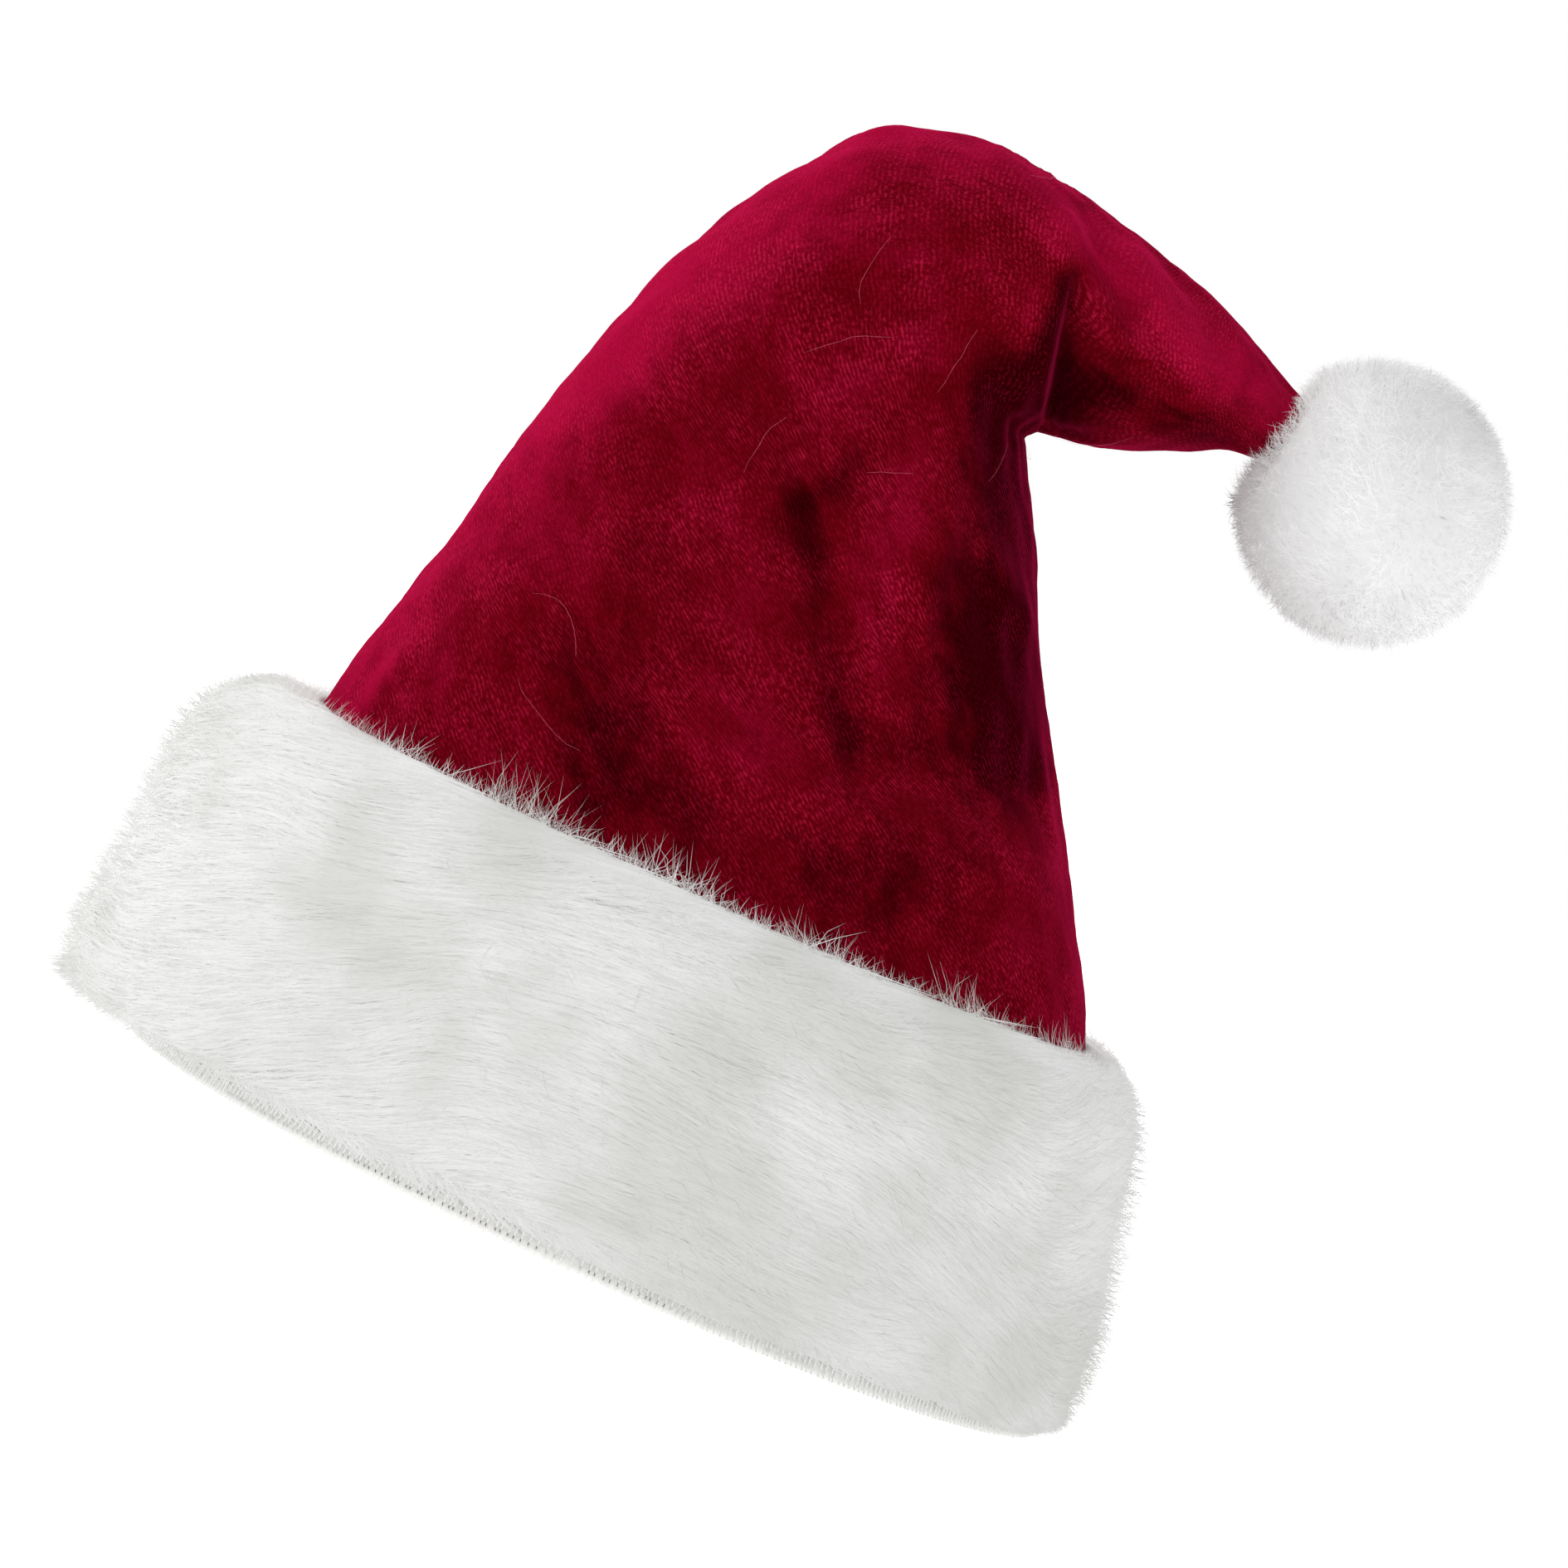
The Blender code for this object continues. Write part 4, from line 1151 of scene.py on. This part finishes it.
def velvet_finish(grain, patches, wales):
    """Deep raspberry velvet: crushed patches, slanted wales under the pile, painted sheen and painted shade
    in its colour, and a bright grazing sheen.
    """
    material, tree, shader = new_finish(
        "raspberry velvet", 0.7, Sheen_Weight=0.4, Sheen_Roughness=0.34, Sheen_Tint=(1.0, 0.022, 0.16, 1.0),
        Specular_IOR_Level=0.0,
    )
    place = node(tree, "ShaderNodeTexCoord").outputs["Object"]
    cloth = node(tree, "ShaderNodeUVMap", uv_map="Cloth").outputs["UV"]
    # The painted light and shade marked on the crown: 0 for the darkest painted shade, 1 for the brightest
    # painted sheen.
    painted_light = node(tree, "ShaderNodeAttribute", attribute_name="PaintedLight").outputs["Fac"]
    drawn = node(tree, "ShaderNodeMapping", {"Vector": cloth, "Scale": (1.0, 0.8, 1.0)}).outputs["Vector"]
    turned = {"Vector": cloth, "Rotation": (0, 0, wale_slant)}
    slanted = node(tree, "ShaderNodeMapping", turned).outputs["Vector"]
    nap = node(tree, "ShaderNodeMapping", {"Vector": slanted, "Scale": (1.0, 0.5, 1.0)}).outputs["Vector"]
    patch = use_group(tree, patches, Place=drawn, Broad=38.0, Small=170.0)["Mask"]
    fine = use_group(tree, grain, Place=place, Size=0.0006)
    rows = use_group(tree, wales, Place=slanted, Spacing=0.00127, Loop=0.0011)["Height"]
    speck = spread(tree, noise(tree, nap, 1500.0, 1.0), 0.38, 0.66)
    shown = spread(tree, noise(tree, place, 60.0, 2.0), 0.38, 0.62, 0.35, 1.0)
    ridge = calc(tree, "MULTIPLY", rows, shown)
    # Painted light and shade: the colour runs from a painted shade through the mid red to a painted sheen as
    # the crushed patches and the painted light rise.
    light = calc(tree, "MULTIPLY_ADD", patch, 0.26, calc(tree, "MULTIPLY_ADD", painted_light, 1.25, -0.225))
    shade = spread(tree, light, 0.0, 0.55)
    deep = mix(tree, shade, (0.022, 0.0000, 0.0005, 1), (0.125, 0.0004, 0.0040, 1))
    deep = mix(tree, spread(tree, light, 0.45, 1.15), deep, (0.330, 0.0020, 0.0300, 1))
    # The wales' dashes show more where the velvet is painted lighter.
    lit = spread(tree, light, 0.1, 0.8, 0.2, 0.9)
    dashes = calc(tree, "MULTIPLY", calc(tree, "MULTIPLY", ridge, speck), lit)
    ridged = mix(tree, dashes, deep, (0.50, 0.012, 0.055, 1))
    colour = mix(tree, calc(tree, "MULTIPLY", fine["Mask"], 0.22), ridged, (0.035, 0.0001, 0.0010, 1))
    tree.links.new(colour, shader.inputs["Base Color"])
    height = calc(tree, "MULTIPLY_ADD", fine["Height"], 0.9, ridge)
    height = calc(tree, "MULTIPLY_ADD", patch, 1.0, height)
    bump = node(tree, "ShaderNodeBump", {"Height": height, "Strength": 0.4, "Distance": 0.0003})
    tree.links.new(bump.outputs["Normal"], shader.inputs["Normal"])
    return material


def velvet_back_finish(grain, wales):
    """The plain knit back of the velvet, seen up inside the crown."""
    material, tree, shader = new_finish("velvet back", 0.85, Sheen_Weight=0.2, Specular_IOR_Level=0.1)
    place = node(tree, "ShaderNodeTexCoord").outputs["Object"]
    cloth = node(tree, "ShaderNodeUVMap", uv_map="Cloth").outputs["UV"]
    rows = use_group(tree, wales, Place=cloth, Spacing=0.0014, Loop=0.0012)["Height"]
    fine = use_group(tree, grain, Place=place, Size=0.0008)
    colour = mix(tree, rows, (0.11, 0.004, 0.012, 1), (0.22, 0.012, 0.030, 1))
    colour = mix(tree, calc(tree, "MULTIPLY", fine["Mask"], 0.3), colour, (0.30, 0.04, 0.06, 1))
    tree.links.new(colour, shader.inputs["Base Color"])
    bump = node(tree, "ShaderNodeBump", {"Height": rows, "Strength": 0.5, "Distance": 0.0003})
    tree.links.new(bump.outputs["Normal"], shader.inputs["Normal"])
    return material


def strand_tone_group():
    """A strand's colour: darker towards the root, as painted shade deep in the pile, darker on some strands
    at random, and darker in broad soft patches, as painted shade in the fur's valleys.
    """
    group, given, result = new_group(
        "strand tone",
        (
            ("Strand", "NodeSocketVector", None), ("Place", "NodeSocketVector", None),
            ("Patches", "NodeSocketFloat", 26.0),
            ("Root", "NodeSocketColor", (0.6, 0.6, 0.57, 1)), ("Tip", "NodeSocketColor", (0.9, 0.9, 0.89, 1)),
            ("Shade", "NodeSocketColor", (0.7, 0.7, 0.66, 1)),
        ),
        (("Color", "NodeSocketColor"),),
    )
    parts = node(group, "ShaderNodeSeparateXYZ", {"Vector": given["Strand"]}).outputs
    # Painted shade: darker towards the root, deep in the pile.
    colour = mix(group, spread(group, parts["Y"], 0.0, 0.55), given["Root"], given["Tip"])
    odd = spread(group, parts["X"], 0.50, 1.0, 0.0, 0.7)
    colour = mix(group, odd, colour, given["Shade"])
    # Painted shade: broad soft patches where the fur is darker, as in the shade of its valleys.
    patch = spread(group, noise(group, given["Place"], given["Patches"], 2.0), 0.38, 0.68, 0.0, 0.8)
    group.links.new(mix(group, patch, colour, given["Shade"]), result["Color"])
    return group


def strand_finish(name, tone, patches, root, tip, shade):
    """Soft white fur, toned from root to tip with painted shade, and with a painted glow on a strand's far
    side that stands in for light coming through it.
    """
    material, tree, shader = new_finish(name, 0.7, Specular_IOR_Level=0.1)
    place = node(tree, "ShaderNodeTexCoord").outputs["Object"]
    strand = node(tree, "ShaderNodeUVMap", uv_map="Strand").outputs["UV"]
    tones = {"Root": root, "Tip": tip, "Shade": shade}
    colour = use_group(tree, tone, Strand=strand, Place=place, Patches=patches, **tones)["Color"]
    tree.links.new(colour, shader.inputs["Base Color"])
    # Painted light: a strand seen from its far side glows, as light coming through it would look.
    behind = node(tree, "ShaderNodeNewGeometry").outputs["Backfacing"]
    through = mix(tree, behind, (0, 0, 0, 1), painted_far_side_glow)
    tree.links.new(through, shader.inputs["Emission Color"])
    shader.inputs["Emission Strength"].default_value = 1.0
    material.cycles.emission_sampling = "NONE"
    return material


def cloth_finish(name, grain, light, dark, size, depth, roughness=0.9):
    """Plain matt cloth or thread with a fine uneven grain."""
    material, tree, shader = new_finish(name, roughness, Specular_IOR_Level=0.15, Sheen_Weight=0.1)
    place = node(tree, "ShaderNodeTexCoord").outputs["Object"]
    fine = use_group(tree, grain, Place=place, Size=size)
    tree.links.new(mix(tree, fine["Mask"], dark, light), shader.inputs["Base Color"])
    bump = node(tree, "ShaderNodeBump", {"Height": fine["Height"], "Strength": 0.6, "Distance": depth})
    tree.links.new(bump.outputs["Normal"], shader.inputs["Normal"])
    return material


def facing_finish(grain):
    """Beige knit with ribs that run level round the cuff, darker along its turned edge."""
    material, tree, shader = new_finish("beige knit", 0.92, Specular_IOR_Level=0.12, Sheen_Weight=0.15)
    place = node(tree, "ShaderNodeTexCoord").outputs["Object"]
    up = node(tree, "ShaderNodeSeparateXYZ", {"Vector": place}).outputs["Z"]
    wander = noise(tree, place, 90.0, 1.0)
    level = calc(tree, "MULTIPLY_ADD", wander, 0.0012, up)
    rib = calc(tree, "SINE", calc(tree, "MULTIPLY", level, 2 * math.pi / 0.00125))
    ridge = calc(tree, "MULTIPLY_ADD", rib, 0.5, 0.5)
    fine = use_group(tree, grain, Place=place, Size=0.0007)
    patch = spread(tree, noise(tree, place, 22.0, 3.0), 0.35, 0.7)
    colour = mix(tree, patch, (0.60, 0.54, 0.47, 1), (0.70, 0.65, 0.58, 1))
    colour = mix(tree, calc(tree, "MULTIPLY", ridge, 0.30), colour, (0.50, 0.44, 0.37, 1))
    past_edge = calc(tree, "SUBTRACT", up, turned_edge + 0.0002)
    edge = spread(tree, calc(tree, "ABSOLUTE", past_edge), 0.0, 0.0016, 0.6, 0.0)
    colour = mix(tree, edge, colour, (0.36, 0.31, 0.26, 1))
    tree.links.new(colour, shader.inputs["Base Color"])
    height = calc(tree, "MULTIPLY_ADD", fine["Height"], 0.8, ridge)
    bump = node(tree, "ShaderNodeBump", {"Height": height, "Strength": 0.6, "Distance": 0.0003})
    tree.links.new(bump.outputs["Normal"], shader.inputs["Normal"])
    return material


# Floor, light and camera

def make_floor():
    """A plain pale floor that fades to white."""
    bm = bmesh.new()
    bmesh.ops.create_grid(bm, x_segments=4, y_segments=4, size=6.0)
    mesh = bpy.data.meshes.new("floor")
    bm.to_mesh(mesh)
    bm.free()
    floor = bpy.data.objects.new("floor", mesh)
    bpy.context.scene.collection.objects.link(floor)
    material, tree, shader = new_finish("pale floor", 0.9, Specular_IOR_Level=0.0)
    shader.inputs["Base Color"].default_value = (0.82, 0.82, 0.82, 1)
    shader.inputs["Emission Color"].default_value = (1, 1, 1, 1)
    place = node(tree, "ShaderNodeTexCoord").outputs["Object"]
    away = node(tree, "ShaderNodeVectorMath", {0: place}, operation="LENGTH").outputs["Value"]
    tree.links.new(spread(tree, away, 0.2, 0.9, 0.52, 0.9), shader.inputs["Emission Strength"])
    mesh.materials.append(material)


def make_world():
    """White behind the hat, and an even soft light from all round it."""
    world = bpy.data.worlds.new("studio")
    bpy.context.scene.world = world
    world.use_nodes = True
    tree = world.node_tree
    tree.nodes.clear()
    seen = node(tree, "ShaderNodeBackground", {"Color": (1, 1, 1, 1), "Strength": 1.0})
    way = node(tree, "ShaderNodeTexCoord").outputs["Generated"]
    rightward = node(tree, "ShaderNodeSeparateXYZ", {"Vector": way}).outputs["X"]
    left_strength, right_strength = 0.71, 0.75
    strength = spread(tree, rightward, -0.8, 0.8, left_strength, right_strength)
    light = node(tree, "ShaderNodeBackground", {"Color": (1.0, 1.0, 1.0, 1), "Strength": strength})
    camera_ray = node(tree, "ShaderNodeLightPath").outputs["Is Camera Ray"]
    both = node(tree, "ShaderNodeMixShader", {0: camera_ray})
    tree.links.new(light.outputs[0], both.inputs[1])
    tree.links.new(seen.outputs[0], both.inputs[2])
    tree.links.new(both.outputs[0], node(tree, "ShaderNodeOutputWorld").inputs[0])


def add_light(name, place, target, size, power):
    """A round soft light that points at a target."""
    data = bpy.data.lights.new(name, "AREA")
    data.shape = "DISK"
    data.size = size
    data.energy = power
    light = bpy.data.objects.new(name, data)
    light.location = place
    light.rotation_euler = (Vector(target) - Vector(place)).to_track_quat("-Z", "Y").to_euler()
    bpy.context.scene.collection.objects.link(light)


def make_lights():
    """Soft studio lights, strongest from the upper left."""
    middle = (0.0, 0.0, 0.12)
    add_light("key", (-1.15, -0.95, 1.25), middle, 1.2, 1.3)
    add_light("edge", (-1.25, 0.55, 0.95), middle, 0.9, 9.0)
    add_light("fill", (0.5, -1.7, 0.7), middle, 1.4, 1.2)
    add_light("low fill", (-0.5, -1.6, 0.12), middle, 1.2, 1.0)


def make_camera():
    """A camera a little above the floor, turned so that the hat leans as it does in the picture."""
    data = bpy.data.cameras.new("camera")
    data.sensor_width = 36.0
    data.lens = 155.8
    data.clip_start = 0.05
    data.clip_end = 50.0
    camera = bpy.data.objects.new("camera", data)
    bpy.context.scene.collection.objects.link(camera)
    target = Vector((0.0, 0.0, 0.115))
    distance, height, lean = 1.6, math.radians(3.2), math.radians(24.5)
    back = Vector((0.0, -math.cos(height), math.sin(height)))
    up = Vector((-math.sin(lean), 0.0, math.cos(lean)))
    right = up.cross(back).normalized()
    up = back.cross(right)
    turn = Matrix((right, up, back)).transposed()
    camera.matrix_world = Matrix.Translation(target + back * distance) @ turn.to_4x4()
    bpy.context.scene.camera = camera


def set_light_paths():
    scene = bpy.context.scene
    scene.view_settings.view_transform = "Standard"
    scene.view_settings.look = "None"
    scene.cycles.max_bounces = 6
    scene.cycles.diffuse_bounces = 5


def main():
    """Builds the stage, the finishes and then each piece of the hat."""
    make_camera()
    make_floor()
    make_world()
    make_lights()
    set_light_paths()
    grain, patches, wales, tone = grain_group(), patches_group(), wales_group(), strand_tone_group()
    velvet = velvet_finish(grain, patches, wales)
    back = velvet_back_finish(grain, wales)
    # The cuff fur's root, tip and shade colours: the darker root colour is painted shade deep in the pile,
    # and the shade colour gives random darker strands and painted shade in broad patches.
    cuff_tones = ((0.52, 0.52, 0.50, 1), (0.79, 0.79, 0.79, 1), (0.62, 0.625, 0.595, 1))
    cuff_fur = strand_finish("white cuff fur", tone, 26.0, *cuff_tones)
    # The pompom fur's colours, with the same painted shade at the root and in patches.
    ball_tones = ((0.74, 0.74, 0.74, 1), (0.90, 0.90, 0.90, 1), (0.77, 0.77, 0.77, 1))
    ball_fur = strand_finish("white pompom fur", tone, 60.0, *ball_tones)
    dense = cloth_finish("dense fur", grain, (0.72, 0.72, 0.71, 1), (0.66, 0.66, 0.64, 1), 0.0012, 0.0006)
    thread = cloth_finish("white thread", grain, (0.95, 0.95, 0.94, 1), (0.91, 0.91, 0.90, 1), 0.0005, 0.0001)
    hem = cloth_finish("rim cloth", grain, (0.92, 0.915, 0.90, 1), (0.85, 0.845, 0.82, 1), 0.0008, 0.0002)
    hair = cloth_finish("loose hair", grain, (0.50, 0.09, 0.15, 1), (0.36, 0.05, 0.09, 1), 0.002, 0.0, 0.5)
    grid = make_crown(velvet, back)
    make_facing(facing_finish(grain))
    make_hem(hem)
    make_stitches(thread)
    pile = CuffPile()
    make_fur_body(pile, dense)
    make_cuff_strands(pile, cuff_fur)
    make_fringe(pile, cuff_fur)
    make_fuzz(pile, cuff_fur)
    make_pompom(ball_fur)
    make_velvet_hairs(grid, hair)


main()
